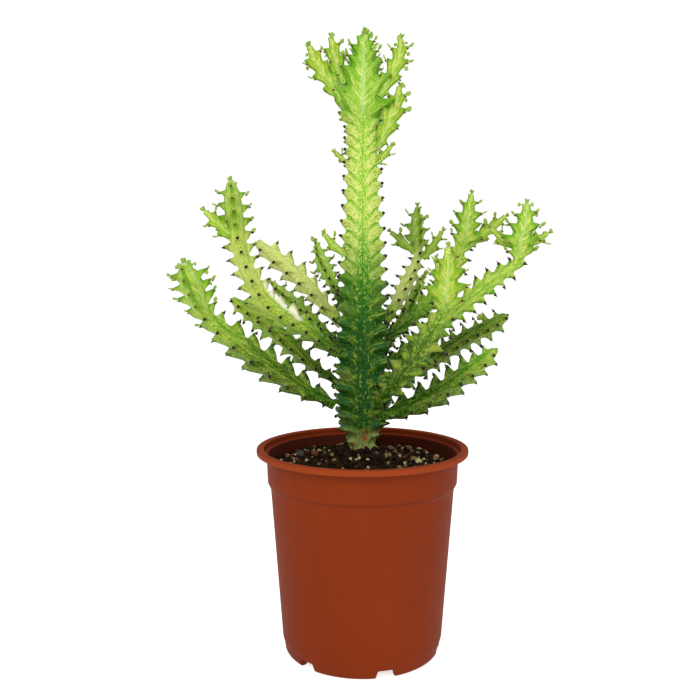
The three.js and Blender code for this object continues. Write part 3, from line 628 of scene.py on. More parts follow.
class Stem:
    """A winged stem: its axis, the places of its teeth, and the surface of its ribs."""

    def __init__(self, spec, seed):
        self.spec = spec
        self.ribs = spec.get("ribs", 3)
        self.axis = StemAxis(spec["route"], spec["facing"])
        shares = np.linspace(0, 1, PITCH_STEPS + 1)
        pitches = np.interp((shares[1:] + shares[:-1]) / 2, *zip(*spec["pitch"]))
        teeth = self.axis.length / pitches / PITCH_STEPS
        self.count = max(2, math.floor(teeth.sum() + 0.5))
        self.marks = np.concatenate([[0], np.cumsum(teeth)]) * self.count / teeth.sum()
        self.shares = shares
        self.draw = np.random.default_rng(seed)
        self.size = self.draw.uniform(0.84, 1.12, (self.ribs, self.count + 2))  # of each tooth
        self.sway = self.draw.uniform(-0.18, 0.18, (self.ribs, self.count + 3))  # of each crease, in teeth

    def place(self, x):
        """The share of the stem's length at which tooth number x starts."""
        return np.interp(x, self.marks, self.shares)

    def phase(self, rib):
        """How far a rib's teeth are raised: the right-hand pair of four by a half, and three by thirds."""
        return 0.5 * (rib in (1, 2)) if self.ribs == 4 else rib / self.ribs

    def young(self, u):
        """1 in the stem's young head, 0 below it."""
        if self.spec.get("shoot"):
            return np.ones_like(u)
        if not self.spec["head_leaves"]:
            return np.zeros_like(u)
        return smooth((1 - u) * self.axis.length, self.spec["head"], self.spec["head"] - HEAD_FADE)

    def look(self, name, u):
        """A value of the stem's look, such as deep, at each share of its length."""
        return np.interp(u, *zip(*self.spec[name]))

    def tooth_depth(self, u):
        """How deep the notches are, as a share of the reach."""
        return self.spec["tooth"] + (self.spec["head_tooth"] - self.spec["tooth"]) * self.young(u)

    def taper(self, u):
        """The rounding of a leafless end."""
        if self.spec["head_leaves"]:
            return np.ones_like(u)
        left = np.clip((1 - u) * self.axis.length / END_ROUND, 0, 1)
        return 0.35 + 0.65 * np.sqrt(1 - (1 - left) ** 2)

    def core(self, u):
        """The radius of the grooves, wider in a round neck."""
        core = self.spec.get("core", CORE_SHARE) * self.taper(u)
        if self.spec.get("neck"):
            core = core + NECK_ROUNDNESS * np.maximum(0, 1 - u * self.axis.length / NECK_LENGTH)
        return self.axis.reach(u) * core

    def frame_at(self, u, rib):
        """The point on the axis, the way up, the way out along a rib, and the way across it."""
        way = self.axis.way(u)
        out = turned(self.axis.normal(u), way, np.full(u.shape, rib * 2 * math.pi / self.ribs))
        return self.axis.point(u), way, out, np.cross(way, out)

    def notch(self, w):
        """How deep the edge lies below the rib's reach at share w of a tooth: 0 at the spine, 1 at most."""
        low, high = self.spec["bay"]  # the notch's floor runs from high, over the crease, to low
        below = 1 - np.clip((w - low) / (SPINE_SHARE - low), 0, 1) ** self.spec["floor"]
        above = np.sin(math.pi / 2 * np.clip((w - SPINE_SHARE) / (high - SPINE_SHARE), 0, 1)) ** 0.6
        return np.where(w < SPINE_SHARE, below, above)

    def swell(self, w, t, age, young):
        """How far a flank stands out at share w of a tooth: in pillows where young, in ridges where old."""
        falling = np.cos(math.pi / 2 * np.clip((w - PILLOW_TOP) / (1 - PILLOW_TOP), 0, 1))
        pillow = np.where(w < PILLOW_TOP, (w / PILLOW_TOP) ** 0.5, falling**0.6)
        ridge = (0.5 + 0.5 * np.cos(2 * math.pi * (w - RIDGE))) ** 1.2
        lobe = pillow + (ridge - pillow) * smooth(age, 0.2, 0.8)
        bell = smooth(t, 0.2, 0.7) * (1 - 0.9 * smooth(t, 0.82, 0.98))
        relief = (0.042 + 0.1 * age - 0.01 * young) * (1 if self.ribs == 4 else 0.4)
        return relief * (lobe - 0.4) * bell

    def ring(self, x, rib, side, t):
        """Points at heights x (in teeth) on one flank, at t from the groove to the edge, and their shares."""
        fade = np.minimum(1, np.minimum(x, self.count - x))
        above = x - self.phase(rib)
        w = above % 1
        edge_u = self.place(x)
        young = self.young(edge_u)
        drawn = np.exp(-(((w - SPINE_SHARE) / HOOK_SPAN) ** 2)) * max(0, 2 * t - 1) ** 2
        hook = (self.spec["hook"] + YOUNG_HOOK * young) * drawn
        sway = np.interp(above, np.arange(-1, self.count + 2), self.sway[rib]) * math.sin(math.pi * t)
        u = self.place(x + (hook + sway - self.spec["lean"] * (1 - t) ** 1.25) * fade)
        size = self.size[rib, np.clip(np.floor(above).astype(int) + 1, 0, self.count + 1)]
        reach = self.axis.reach(edge_u) * self.taper(edge_u)
        local = self.axis.reach(u) * self.taper(u)
        notch = self.notch(w)
        edge = reach * (1 - self.tooth_depth(edge_u) * (notch + (1 - notch) * (1 - size)))
        core = self.core(u)
        half = math.pi / self.ribs
        thin = 0.045 * reach + 0.35  # half the thickness of the edge
        # The section is a curve from the groove's middle along the flank, then a quarter turn at the edge.
        groove = np.stack([core * math.cos(half), core * math.sin(half)], -1)
        second = groove + np.outer(0.2 * local, (math.sin(half), -math.cos(half)))
        third = np.stack([
            groove[:, 0] + 0.7 * (edge - groove[:, 0]), local * (FLANK_SHARE - 0.03 * young),
        ], -1)
        last = np.stack([edge - thin, thin], -1)
        b = min(t / FLANK_END, 1)
        a = 1 - b
        section = a**3 * groove + 3 * a * a * b * second + 3 * a * b * b * third + b**3 * last
        turn = max(0, (t - FLANK_END) / (1 - FLANK_END)) * math.pi / 2
        outward = section[:, 0] + thin * math.sin(turn)
        swell = local * size * self.swell(w, t, self.look("deep", u), young)
        across = (section[:, 1] + swell) * math.cos(turn)
        base, _, out, over = self.frame_at(u, rib)
        points = base + out * outward[:, None] + over * (side * across)[:, None]
        return points + out * (local * 0.012 * ripple(points))[:, None], u

    def flesh(self, piece, slot):
        """Adds the closed body, with the values that its material reads."""
        x = np.arange(self.count * ROWS + 1) / ROWS
        lift = [t * FLANK_END for t in FLANK]
        lift += [FLANK_END + (1 - FLANK_END) * (i + 1) / EDGE_TURNS for i in range(EDGE_TURNS)]
        reach = self.axis.reaches[1].mean()
        columns, shares, tooth, skin = [], [], [], []
        for rib in range(self.ribs):
            for side in (-1, 1):
                flank = [(t, *self.ring(x, rib, side, t)) for t in (lift if side < 0 else lift[::-1])]
                valley = 37.0 * ((rib + (side > 0)) % self.ribs)  # sets the pattern of each groove apart
                marks = [np.stack(np.broadcast_arrays(x - self.phase(rib), t, rib), -1) for t, _, _ in flank]
                skins = [
                    np.stack(np.broadcast_arrays(u * self.axis.length, -side * t * reach, valley), -1)
                    for t, _, u in flank
                ]
                columns += [points for _, points, _ in flank[:-1]]
                shares += [u for _, _, u in flank[:-1]]
                tooth += zip(marks[:-1], marks[1:])
                skin += zip(skins[:-1], skins[1:])
        points = np.stack(columns, 1)
        self.skin = points.reshape(-1, 3)
        rows, ring = points.shape[:2]
        lower, upper = slice(None, -1), slice(1, None)
        corner = {
            name: np.stack([
                np.stack([pair[way][rows_] for pair in pairs], 1)
                for way, rows_ in ((0, lower), (1, lower), (1, upper), (0, upper))
            ], 2).reshape(-1, 3)
            for name, pairs in (("tooth", tooth), ("skin", skin))
        }
        looks = self.looks(np.stack(shares, 1).ravel(), self.skin)
        piece.add(self.skin, grid(rows, ring), slot, corner, looks)
        flat = np.zeros((ring * 3, 3))
        fan = np.stack([np.arange(ring), np.roll(np.arange(ring), -1), np.full(ring, ring)], -1)
        for share, row in ((0.0, 0), (1.0, rows - 1)):
            end = np.array([share])
            rise = self.axis.reach(end)[:, None] * (0.6 if self.spec["head_leaves"] else 0.25)
            tip = self.axis.point(end) + (self.axis.way(end) * rise if row else 0)
            cap = np.vstack([points[row], tip])
            looks = self.looks(np.full(ring + 1, share), cap)
            piece.add(cap, fan if row else fan[:, ::-1], slot, dict(tooth=flat, skin=flat), looks)

    def spots(self, name, points, soft):
        """1 in the places that the stem's row lists under this name, with soft edges, and 0 elsewhere."""
        found = np.zeros(len(points))
        for x, y, z, radius in self.spec.get(name, []):
            away = np.linalg.norm(points - (x, y, z), axis=1)
            found = np.maximum(found, smooth(away, radius * (1 + soft), radius * (1 - soft)))
        return found

    def looks(self, shares, points):
        """The values that the flesh's material reads at each point."""
        values = {name: self.look(name, shares) for name in ("cream", "deep", "warm")}
        return dict(
            values,
            young=self.young(shares),
            rings=np.full(len(shares), self.spec["rings"]),
            white=self.spots("white", points, 0.3),
            scar=self.spots("scars", points, 0.2),
            bark=smooth(points[:, 2], CORK_TOP + 3, CORK_TOP - 3) * (self.ribs == 4),
        )

    def teeth(self):
        """Each spine's share of the stem's length and its rib, from the tip down."""
        found = []
        for rib in range(self.ribs):
            for n in range(-1, self.count):
                x = n + self.phase(rib) + SPINE_SHARE
                u = self.place(max(x, 0.0))
                if x > 0.3 and u < 0.992:  # none at the very foot or tip
                    found.append((u, rib))
        return sorted(found, reverse=True)

    def spot(self, u, rib):
        """At one share of the length: frame_at's four, the reach, and how young it is."""
        u = np.array([u])
        return *(v[0] for v in self.frame_at(u, rib)), self.axis.reach(u)[0], self.young(u)[0]


# ---------- spines and leaves ----------


def tube(piece, slot, line, widths, over, thicknesses=None, sides=6):
    """A closed body of oval sections along a line; over is the way of the widths."""
    line = np.array(line)
    ways = unit(np.gradient(line, axis=0))
    over = np.broadcast_to(over, line.shape)
    over = unit(over - ways * np.sum(over * ways, -1, keepdims=True))
    up = np.cross(ways, over)
    angle = np.arange(sides) * 2 * math.pi / sides
    widths = np.array(widths)[:, None]
    thicknesses = widths if thicknesses is None else np.array(thicknesses)[:, None]
    points = (
        line[:, None]
        + over[:, None] * (widths * np.cos(angle))[..., None]
        + up[:, None] * (thicknesses * np.sin(angle))[..., None]
    )
    piece.add(points.reshape(-1, 3), grid(len(line), sides), slot)
    loop = np.arange(sides)
    first = np.stack([np.roll(loop, -1), loop, np.full(sides, sides)], -1)
    piece.add(np.vstack([points[0], line[:1]]), first, slot)
    piece.add(np.vstack([points[-1], line[-1:]]), first[:, [1, 0, 2]], slot)


def add_spines(piece, stem):
    """On each tooth a small pad with two short spines."""
    draw = stem.draw
    for u, rib in stem.teeth():
        base, way, out, over, reach, young = stem.spot(u, rib)
        length = stem.spec.get("spine", 2.3) * (1.15 - 0.4 * young) * draw.uniform(0.8, 1.15)
        root = base + out * (reach - 0.6)
        pad = 1.25 - 0.55 * young
        pad_line = [root + out * rise for rise in (-0.3, 0.25, 0.7, 0.85)]
        widths = pad * np.array([1, 1, 0.8, 0.3])
        thicknesses = pad * np.array([1.1, 1.1, 0.8, 0.3])
        tube(piece, SLOTS["areole" if young > 0.5 else "spine_pad"], pad_line, widths, over, thicknesses)
        wide = 0.85 - 0.4 * young
        for side in (-1, 1):
            aim = unit(out + over * side * draw.uniform(0.3, 0.55) + way * draw.uniform(-0.1, 0.2))
            start = root + out * 0.3 + over * side * 0.35
            line = [start + aim * length * f + way * 0.12 * length * f * f for f in (0, 0.35, 0.7, 1)]
            tube(piece, SLOTS["spine"], line, [wide, wide * 0.75, wide * 0.4, 0.05], over, sides=5)


def add_leaf(piece, root, out, way, over, length, width, curl, stalk=0.4):
    """A small fleshy leaf on a thin stalk, which leaves along out and curls towards way."""
    a = LEAF_STEPS[:, None]
    line = root + out * length * (a - 0.25 * a * a * curl) + way * length * 0.55 * curl * a * a
    blade = np.clip((LEAF_STEPS - stalk) / (1 - stalk), 0, 1)
    widths = 0.45 + width * np.sin(math.pi * blade**0.8) ** 0.75
    thick = 0.4 + 0.25 * np.sin(math.pi * blade)
    widths[-1] = thick[-1] = 0.1
    tube(piece, SLOTS["leaf"], line, widths, over, thick, 8)


def add_leaves(piece, stem):
    """Curled leaves on the young head's teeth and round its tip."""
    draw = stem.draw
    leaves = stem.spec["head_leaves"]
    small = stem.axis.length < SMALL_SHOOT
    for u, rib in stem.teeth()[: 2 if small else leaves]:
        base, way, out, over, reach, _ = stem.spot(u, rib)
        root = base + out * (reach - 1) + way * 0.6
        aim = unit(out + way * draw.uniform(0.1, 0.6) + over * draw.uniform(-0.3, 0.3))
        face = unit(over + way * draw.uniform(-0.8, 0.8) + out * draw.uniform(-0.3, 0.3))
        length, width, curl = draw.uniform(4, 6.5), draw.uniform(0.9, 1.9), draw.uniform(0.2, 1.1)
        add_leaf(piece, root, aim, way, face, length, width, curl, 0.25)
    top, way, out, over, reach, _ = stem.spot(1.0, 0)
    for i in range((2 if small else 4) if leaves else 0):
        angle = i * 2.4
        aim = unit(way + 0.5 * (out * math.cos(angle) + over * math.sin(angle)))
        length, width = draw.uniform(3, 4.5), draw.uniform(0.8, 1.5)
        add_leaf(piece, top + way * 0.2 * reach, aim, way, np.cross(aim, way), length, width, 0.4)


def add_round_leaves(piece, stems, leaves):
    """Round leaves near given places, each on a short stalk that starts in the nearest flesh."""
    skin = np.vstack([stem.skin for stem in stems])
    for x, y, z, radius in leaves:
        away = (x, y, z) - skin
        near = np.argmin(np.linalg.norm(away, axis=1))
        out = unit(away[near] + (0, 0, 0.5))
        over = unit(np.cross(out, (0, 1, 0)))
        root = skin[near] - out * 0.8
        length = 2 * radius + 2
        add_leaf(piece, root, out, np.cross(over, out), over, length, radius, 0.0, 1.6 / length)


# ---------- stem materials ----------


def flesh_material():
    """Green skin with cream lobes, speckled grooves, glaucous shoulders with a painted highlight on their
    crests, leaf scars and a corky foot.
    """
    m = Shader("flesh")
    s, t, rib = m.split(m.attribute("tooth", "Vector"))
    skin = m.attribute("skin", "Vector")
    along, across, valley = m.split(skin)
    young, cream, deep, warm, rings, white, scar, bark = (
        m.attribute(value) for value in ("young", "cream", "deep", "warm", "rings", "white", "scar", "bark")
    )

    def drawn_out(a, b, apart=valley):
        """The skin's own frame, for a pattern that is drawn out along the stem."""
        return m.join(along * a, across * b, apart)

    wander = m.cloud(skin, 0.16) - 0.5
    mottle = m.cloud(skin, 0.55, 5, 0.65)
    flow = m.cloud(drawn_out(0.09, 0.75), 1.0, 4, 0.6)
    veins = m.cloud(m.join(s * 9.0, t * 2.4, rib), 1.0, 5, 0.65)

    # The place in a tooth: w from crease to crease, and span from the middle of its lobe.
    w = m.math("FRACT", s + wander * 0.12)
    crease = m.math("PINGPONG", w, 0.5)
    chance = m.node("TexWhiteNoise", 0, {"W": m.math("FLOOR", s) + rib * 17.3}, noise_dimensions="1D")
    inner = 0.1 + (1.25 - (cream + chance * 0.5)) * 0.42
    side = abs(w - 0.49) / 0.43
    depth = m.math("MAXIMUM", 0.7 - t, 0.0) / (0.7 - inner)
    span = m.math("SQRT", side * side + depth * depth)

    # The green, and the striped cream that fills the lobes.
    light = m.mix(mottle, (84, 164, 4), (136, 198, 28))
    middle = m.mix(mottle, (24, 120, 1), (64, 158, 6))
    dark = m.mix(rings * 0.5, m.mix(mottle, (4, 54, 3), (22, 94, 10)), (6, 66, 30))
    green = m.mix(m.step(deep, 0.4, 0.9), m.mix(m.step(deep, 0.0, 0.5), light, middle), dark)
    green = m.mix(warm * 0.45, green, m.mix(m.step(deep, 0.1, 0.8), (186, 190, 36), (84, 96, 10)))
    stripes = m.math("SINE", span * 15 + (mottle * 3.2 + wander * 7))
    stripes = m.step(stripes, 0.2, 0.7) * m.step(m.cloud(skin, 0.5, 3), 0.42, 0.52)
    pale = m.mix(warm, (210, 226, 84), (224, 218, 70))
    fill = m.mix(mottle, pale, (226, 230, 156))
    fill = m.mix(warm * 0.75, fill, m.mix(mottle, (120, 148, 28), (186, 190, 58)))
    fill = m.mix(stripes * 0.95, fill, m.mix(deep, (112, 162, 34), green))
    branch_green = m.mix(m.step(deep, 0.2, 0.7), m.mix(mottle, (76, 152, 16), (120, 182, 38)), green)
    patch = m.step(span + (wander * 0.5 + (mottle - 0.5) * 0.9), 1.02, 0.9)
    patch = patch * m.step(cream + (chance - 0.5) * 0.45, 0.2, 0.6)
    color = m.mix(patch * rings * (1.0 - deep * 0.5), m.mix(1.0 - rings, green, branch_green), fill)

    # Marbling: broad cream areas with thin green lines, and thin cream lines in the green between.
    front = m.math("MAXIMUM", 1.0 - abs(rib), 0.0)
    crest = front * m.step(t + wander * 0.4, 0.34, 0.5)
    broad = m.cloud(drawn_out(0.05, 0.25), 1.0, 4, 0.6)
    area = m.step(broad + cream * (0.1 + crest * 0.22) - deep * 0.06, 0.57, 0.61)
    curve = m.cloud(drawn_out(0.11, 0.6, valley + 7.0), 1.0, 3, 0.55)
    streaks = m.step(abs(m.math("FRACT", curve * 6.0) - 0.5), 0.16, 0.06)
    streaks = streaks * (m.step(t, 0.55, 0.35) * m.step(veins, 0.4, 0.5))
    arcs = m.math("SINE", span * 13 + (mottle * 1.2 + wander * 8))
    arcs = m.step(arcs, 0.3, 0.75) * m.step(t, 0.24, 0.4) * m.step(m.cloud(skin, 0.4, 3), 0.38, 0.48)
    marbled = abs(area - m.math("MAXIMUM", streaks, arcs) * 0.85)
    plain = (1.0 - rings * 0.85) * (1.0 - deep * 0.3)
    marble = m.mix(deep * 0.75, m.mix(mottle, pale, (238, 238, 124)), (140, 176, 24))
    color = m.mix(marbled * plain, color, marble)
    color = m.mix(m.step(cream, 1.0, 2.0) * 0.4, color, m.mix(mottle, (222, 230, 150), (242, 242, 190)))

    # Veins under each crease, glaucous shoulders with a painted highlight, the dark crease itself and specks
    # in the grooves.
    recess = m.step(t, 0.12, 0.35) * m.step(m.math("PINGPONG", w + 0.72, 0.5), 0.18, 0.34)
    veined = m.step(veins, 0.5, 0.58) * (recess * m.step(deep, 0.15, 0.6)) * (0.25 + rings * 0.75)
    color = m.mix(veined * 0.8, color, m.mix(mottle, (128, 158, 20), (178, 190, 50)))
    # Glaucous bloom and painted highlight: the ridge crests are made paler and bluer, as where light catches
    # them.
    bloom_and_highlight = m.step(w, 0.55, 0.74) * m.step(w, 1.0, 0.86) * m.step(t, 0.22, 0.62)
    bloom_and_highlight = bloom_and_highlight * (0.2 + deep * 0.6) * m.step(mottle, 0.3, 0.6)
    bloom_and_highlight = bloom_and_highlight * (1.0 - warm * 0.8) * (0.3 + rings * 0.55)
    color = m.mix(bloom_and_highlight, color, m.mix(deep, (128, 190, 84), (44, 100, 66)))
    line = m.step(crease + wander * 0.05, 0.07, 0.015) * m.step(t, 0.4, 0.7) * (0.2 + rings * 0.5)
    color = m.mix(line, color, m.mix(deep, (96, 156, 44), (16, 56, 20)))
    coarse = m.step(m.cells(drawn_out(0.42, 0.85)), 0.5, 0.38)
    speck = m.math("MAXIMUM", coarse, m.step(m.cells(drawn_out(1.3, 1.9)), 0.42, 0.32) * 0.8)
    near = m.step(t, 0.8, 0.2) * m.step(abs(across), 0.2, 0.7)
    some = m.step(m.cloud(skin, 0.3) + (cream - 0.5) * 0.5, 0.3, 0.56)
    speck = speck * some * (near * (0.45 + rings * 0.55))
    color = m.mix(speck * 0.92, color, m.mix(deep, (228, 236, 134), (138, 178, 60)))

    # The young head, with pale rays towards its teeth.
    fan = m.cloud(m.join(s * 9.0, t * 1.5, rib), 1.0, 4, 0.6)
    rays = m.step(fan * 0.6 + flow * 0.4, 0.43, 0.58)
    rays = rays * (0.4 + m.step(w, 0.85, 0.35) * 0.6) * m.step(t, 0.95, 0.6)
    fresh = m.mix(rays, m.mix(mottle, (88, 160, 12), (138, 194, 36)), (226, 232, 128))
    fresh = m.mix(warm * 0.6, fresh, m.mix(rays, (164, 178, 42), (226, 214, 100)))
    fresh = m.mix(m.step(t, 0.16, 0.02) * 0.55, fresh, (196, 224, 150))
    fresh = m.mix(m.step(t, 0.7, 0.95) * 0.45, fresh, (92, 158, 40))
    color = m.mix(young * 0.85, color, fresh)

    # White skin, cork and scars.
    color = m.mix(white, color, m.mix(mottle, (226, 226, 186), (240, 238, 206)))
    lumps = m.cloud(m.stretch(m.place(), (1, 1, 0.6)), 620, 5, 0.65)
    cork = m.mix(m.step(lumps, 0.3, 0.6), (58, 78, 34), (146, 164, 86))
    cork = m.mix(m.step(m.cells(m.place(), 130), 0.3, 0.2), cork, (132, 84, 44))
    color = m.mix(bark, color, cork)
    color = m.mix(scar, color, m.mix(lumps, (104, 64, 34), (174, 122, 74)))

    height = m.cloud(m.place(), 1300, 3, 0.6) * 0.2 + (mottle * 0.5 + bark * (lumps * 4.0))
    return m.finish(
        base_color=color,
        roughness=mottle * 0.2 + 0.3 + bark * 0.4,
        normal=m.bump(height, 0.45, 0.0007),
        subsurface_weight=0.1,
        subsurface_radius=(0.3, 0.6, 0.15),
        subsurface_scale=0.003,
        specular_ior_level=0.09,
    )


def leaf_material():
    """Bright green with paler spots, a little soft to the light."""
    m = Shader("leaf")
    shade = m.cloud(m.place(), 160, 3)
    color = m.mix(shade, (96, 150, 36), (184, 206, 82))
    return m.finish(base_color=color, roughness=shade * 0.15 + 0.35, subsurface_weight=0.1)


# ---------- stems ----------

SLOTS = dict(flesh=0, spine=1, spine_pad=2, leaf=3, areole=4)  # a stem's materials, in their order


def make_stem(spec, seed, materials):
    """The mesh of a stem with its side shoots, spines and leaves."""
    piece = Piece()
    stems = [Stem(spec, seed)]
    for i, route in enumerate(spec.get("shoots", [])):
        stems.append(Stem(dict(SHOOT, route=route), seed * 20 + i))
    for stem in stems:
        stem.flesh(piece, SLOTS["flesh"])
        add_spines(piece, stem)
        add_leaves(piece, stem)
    add_round_leaves(piece, stems, spec.get("round_leaves", []))
    return piece.mesh(spec["node"] + "_flesh", materials)


def make_plant():
    dry = dict(roughness=0.7, specular_ior_level=0.2)
    materials = [
        flesh_material(),
        spotted_material("spine", (10, 7, 6), (46, 30, 24), 700, roughness=0.5),
        spotted_material("spine_pad", (24, 17, 14), (74, 52, 42), 500, **dry),
        leaf_material(),
        spotted_material("areole", (104, 38, 16), (184, 104, 44), 500, **dry),
    ]
    for seed, spec in enumerate([MAIN_STEM] + [dict(BRANCH, **branch) for branch in BRANCHES], 1):
        node = spec["node"]
        pale = node in ("branch_left_pale", "branch_left_rear_high")
        piece = link(node + "_fine", make_stem(spec, seed, materials))
        stand_in(piece, node)


# ---------- pot ----------


def arc(center_r, center_z, radius, start, end, steps=5):
    """Points of a profile round a corner, with angles in degrees from the outward way."""
    angles = np.radians(np.linspace(start, end, steps))
    return [(center_r + radius * math.cos(a), center_z + radius * math.sin(a)) for a in angles]


def pot_profile():
    """Radius and height from the underside's middle, up the outside, over the rim and down inside."""
    lip = RIM_TOP - LIP_HEIGHT
    inner = COLLAR_RADIUS - WALL
    wall_radii = np.linspace(WALL_FOOT_RADIUS, WALL_TOP_RADIUS, 12)[1:]
    wall_heights = np.linspace(WALL_FOOT + 3, WALL_TOP, 12)[1:]
    return [
        (0, BASE_UNDERSIDE), (FOOT_INNER_RADIUS - 1, BASE_UNDERSIDE), (FOOT_INNER_RADIUS, BASE_UNDERSIDE - 1),
        (FOOT_INNER_RADIUS + 0.4, 0.6), (FOOT_INNER_RADIUS + 1, 0),
        *arc(FOOT_FLAT_RADIUS, 4.8, 4.8, -90, -20, 8),
        *arc(WALL_FOOT_RADIUS - 10, 14.5, 10, -28, -4, 6),
        *zip(wall_radii, wall_heights),
        (WALL_TOP_RADIUS + 0.1, WALL_TOP + 0.8), (WALL_TOP_RADIUS + 0.5, WALL_TOP + 1.3),
        (COLLAR_RADIUS - 1.2, COLLAR_BOTTOM - 0.6), (COLLAR_RADIUS - 0.8, COLLAR_BOTTOM + 0.4),
        (COLLAR_RADIUS - 0.55, COLLAR_BOTTOM + 6), (COLLAR_RADIUS, lip - 1.6),
        (COLLAR_RADIUS + 0.4, lip - 0.5), (COLLAR_RADIUS + 1.4, lip),
        *arc(RIM_RADIUS - RIM_ROUND, lip + RIM_ROUND, RIM_ROUND, -90, 0),
        *arc(RIM_RADIUS - RIM_ROUND, RIM_TOP - RIM_ROUND, RIM_ROUND, 0, 90),
        *arc(RIM_INNER_RADIUS + RIM_ROUND, RIM_TOP - RIM_ROUND, RIM_ROUND, 90, 180),
        (RIM_INNER_RADIUS - 0.4, lip + 0.6), (inner + 1.2, lip - 0.1), (inner + 0.6, lip - 0.8),
        (inner - 0.4, COLLAR_BOTTOM + 2.5), (inner - 0.9, COLLAR_BOTTOM + 1),
        (WALL_TOP_RADIUS - WALL, WALL_TOP + 0.6), (WALL_FOOT_RADIUS - WALL + 0.2, BASE_TOP + 4),
        (WALL_FOOT_RADIUS - WALL - 2, BASE_TOP), (0, BASE_TOP),
    ]


def turned_body(profile, sides):
    """A closed body turned about +Z; the profile starts and ends on the axis."""
    middle = np.array(profile[1:-1])
    angle = np.arange(sides) * 2 * math.pi / sides
    radii, heights = middle[:, :1], np.repeat(middle[:, 1:], sides, 1)
    rings = np.stack([radii * np.cos(angle), radii * np.sin(angle), heights], -1)
    return capped(rings, (0, 0, profile[0][1]), (0, 0, profile[-1][1]))


def cutter(front, back):
    """A straight body from one outline to the other, to be cut out of the pot."""
    points = np.vstack([front, back])
    n = len(front)
    faces = [tuple(range(n)), tuple(range(2 * n - 1, n - 1, -1))]
    faces += [(i, i + n, (i + 1) % n + n, (i + 1) % n) for i in range(n)]
    mesh = bpy.data.meshes.new("cutter")
    mesh.from_pydata((points * MM + AXIS).tolist(), [], faces)
    return link("cutter", mesh)


def make_pot():
    points, quads, caps = turned_body(pot_profile(), POT_SIDES)
    shape = bpy.data.meshes.new("pot_fine")
    shape.from_pydata((points * MM + AXIS).tolist(), [], quads.tolist() + caps.tolist())
    shape.materials.append(plastic_material())
    pot = link("pot_fine", shape)
    half = NOTCH_WIDTH / 2
    notch = [(-half - 0.9, -1), (half + 0.9, -1), (half - 0.6, NOTCH_HEIGHT - NOTCH_ROUND)]
    notch += arc(half - 0.8 - NOTCH_ROUND, NOTCH_HEIGHT - NOTCH_ROUND, NOTCH_ROUND, 15, 90, 4)
    notch += [(-x, z) for x, z in reversed(notch[3:])] + [(-half + 0.6, NOTCH_HEIGHT - NOTCH_ROUND)]
    ring = np.array([(x, y, 0) for x, y in arc(0, 0, DRAIN_RADIUS, 0, 345, 24)])
    cutters = []
    for i in range(NOTCHES):
        angle = math.radians(FIRST_NOTCH_ANGLE + i * 360 / NOTCHES)
        ends = [[(x, y, z) for x, z in notch] for y in (-RIM_RADIUS, 3 - FOOT_INNER_RADIUS)]
        cutters.append(cutter(*(spin(np.array(end), angle) for end in ends)))
        hole = ring + spin(np.array([0, -DRAIN_CIRCLE, 0]), angle)
        cutters.append(cutter(hole + (0, 0, BASE_TOP + 2), hole + (0, 0, BASE_UNDERSIDE - 2)))
    for part in cutters:
        cut = pot.modifiers.new("cut", "BOOLEAN")
        cut.solver = "EXACT"
        cut.object = part
    graph = bpy.context.evaluated_depsgraph_get()
    made = bpy.data.meshes.new_from_object(pot.evaluated_get(graph))
    pot.modifiers.clear()
    pot.data = made
    for part in cutters:
        bpy.data.objects.remove(part)
    made.polygons.foreach_set("use_smooth", np.ones(len(made.polygons), bool))
    made.set_sharp_from_angle(angle=math.radians(SHARP_EDGE))
    stand_in(pot, "pot")


def plastic_material():
    """Terracotta plastic, with a painted highlight on the top of the lip and painted shade on the wall
    inside.
    """
    m = Shader("terracotta_plastic")
    place = m.place()
    broad = m.cloud(place, 14, 3)
    grain = m.cloud(place, 1400, 3, 0.7)
    flow = m.cloud(m.stretch(place, (1, 1, 0.12)), 90, 3)
    x, y, z = m.split(m.stretch(place, (1, 1, 1), tuple(-AXIS)))
    radius = m.math("SQRT", x * x + y * y)
    color = m.mix(broad, (125, 43, 7), (137, 51, 12))
    color = m.mix(m.step(flow, 0.5, 0.8) * 0.1, color, (150, 62, 28))
    lip_bottom = RIM_TOP - LIP_HEIGHT
    # Painted highlight: the top of the rim is made paler, as if lit from above.
    lip = m.step(radius, (RIM_INNER_RADIUS - 0.5) * MM, (RIM_INNER_RADIUS + 0.5) * MM)
    lip = lip * m.step(z, (lip_bottom - 1) * MM, (lip_bottom + 0.4) * MM)
    color = m.mix(lip * 0.7, color, (160, 66, 28))
    color = m.mix(m.step(m.cells(place, 330), 0.1, 0.05) * 0.3, color, (186, 120, 84))
    # Painted shade: the wall inside, between the collar and the rim, is darkened as if shaded by the rim.
    inside = m.step(radius, (COLLAR_RADIUS - 0.8) * MM, (COLLAR_RADIUS - 1.5) * MM)
    inside = inside * m.step(z, (WALL_TOP + 1) * MM, (COLLAR_BOTTOM + 3) * MM)
    painted_shade = m.mix(m.cloud(place, 260, 4, 0.7), (34, 15, 8), (86, 28, 10))
    return m.finish(
        base_color=m.mix(inside * 0.9, color, painted_shade),
        roughness=broad * 0.1 + (grain * 0.1 + 0.46),
        normal=m.bump(grain * 0.5 + flow * 0.15, 0.22, 0.0004),
        specular_ior_level=0.08,
    )


# ---------- soil ----------


def soil_height(x, y):
    """Height of the soil's surface at arrays of x and y."""
    wide = np.array([noise.noise((a * 0.05, b * 0.05, 3.1)) for a, b in zip(x, y)])
    lump = np.array([noise.fractal((a * 0.17, b * 0.17, 0.7), 0.9, 2.1, 4) for a, b in zip(x, y)])
    r = np.hypot(x, y)
    mound = MOUND * smooth(r, MOUND_RADIUS, 15)
    sunk = 1.2 * smooth(r, 66, 75)  # towards the pot's wall
    return SOIL_LEVEL + 1.6 * wide + 2.1 * lump + mound - sunk


def ball():
    """Points and faces of a small round body."""
    bm = bmesh.new()
    bmesh.ops.create_icosphere(bm, subdivisions=2, radius=1)
    points = np.array([v.co[:] for v in bm.verts])
    faces = np.array([[v.index for v in f.verts] for f in bm.faces])
    bm.free()
    return points, faces


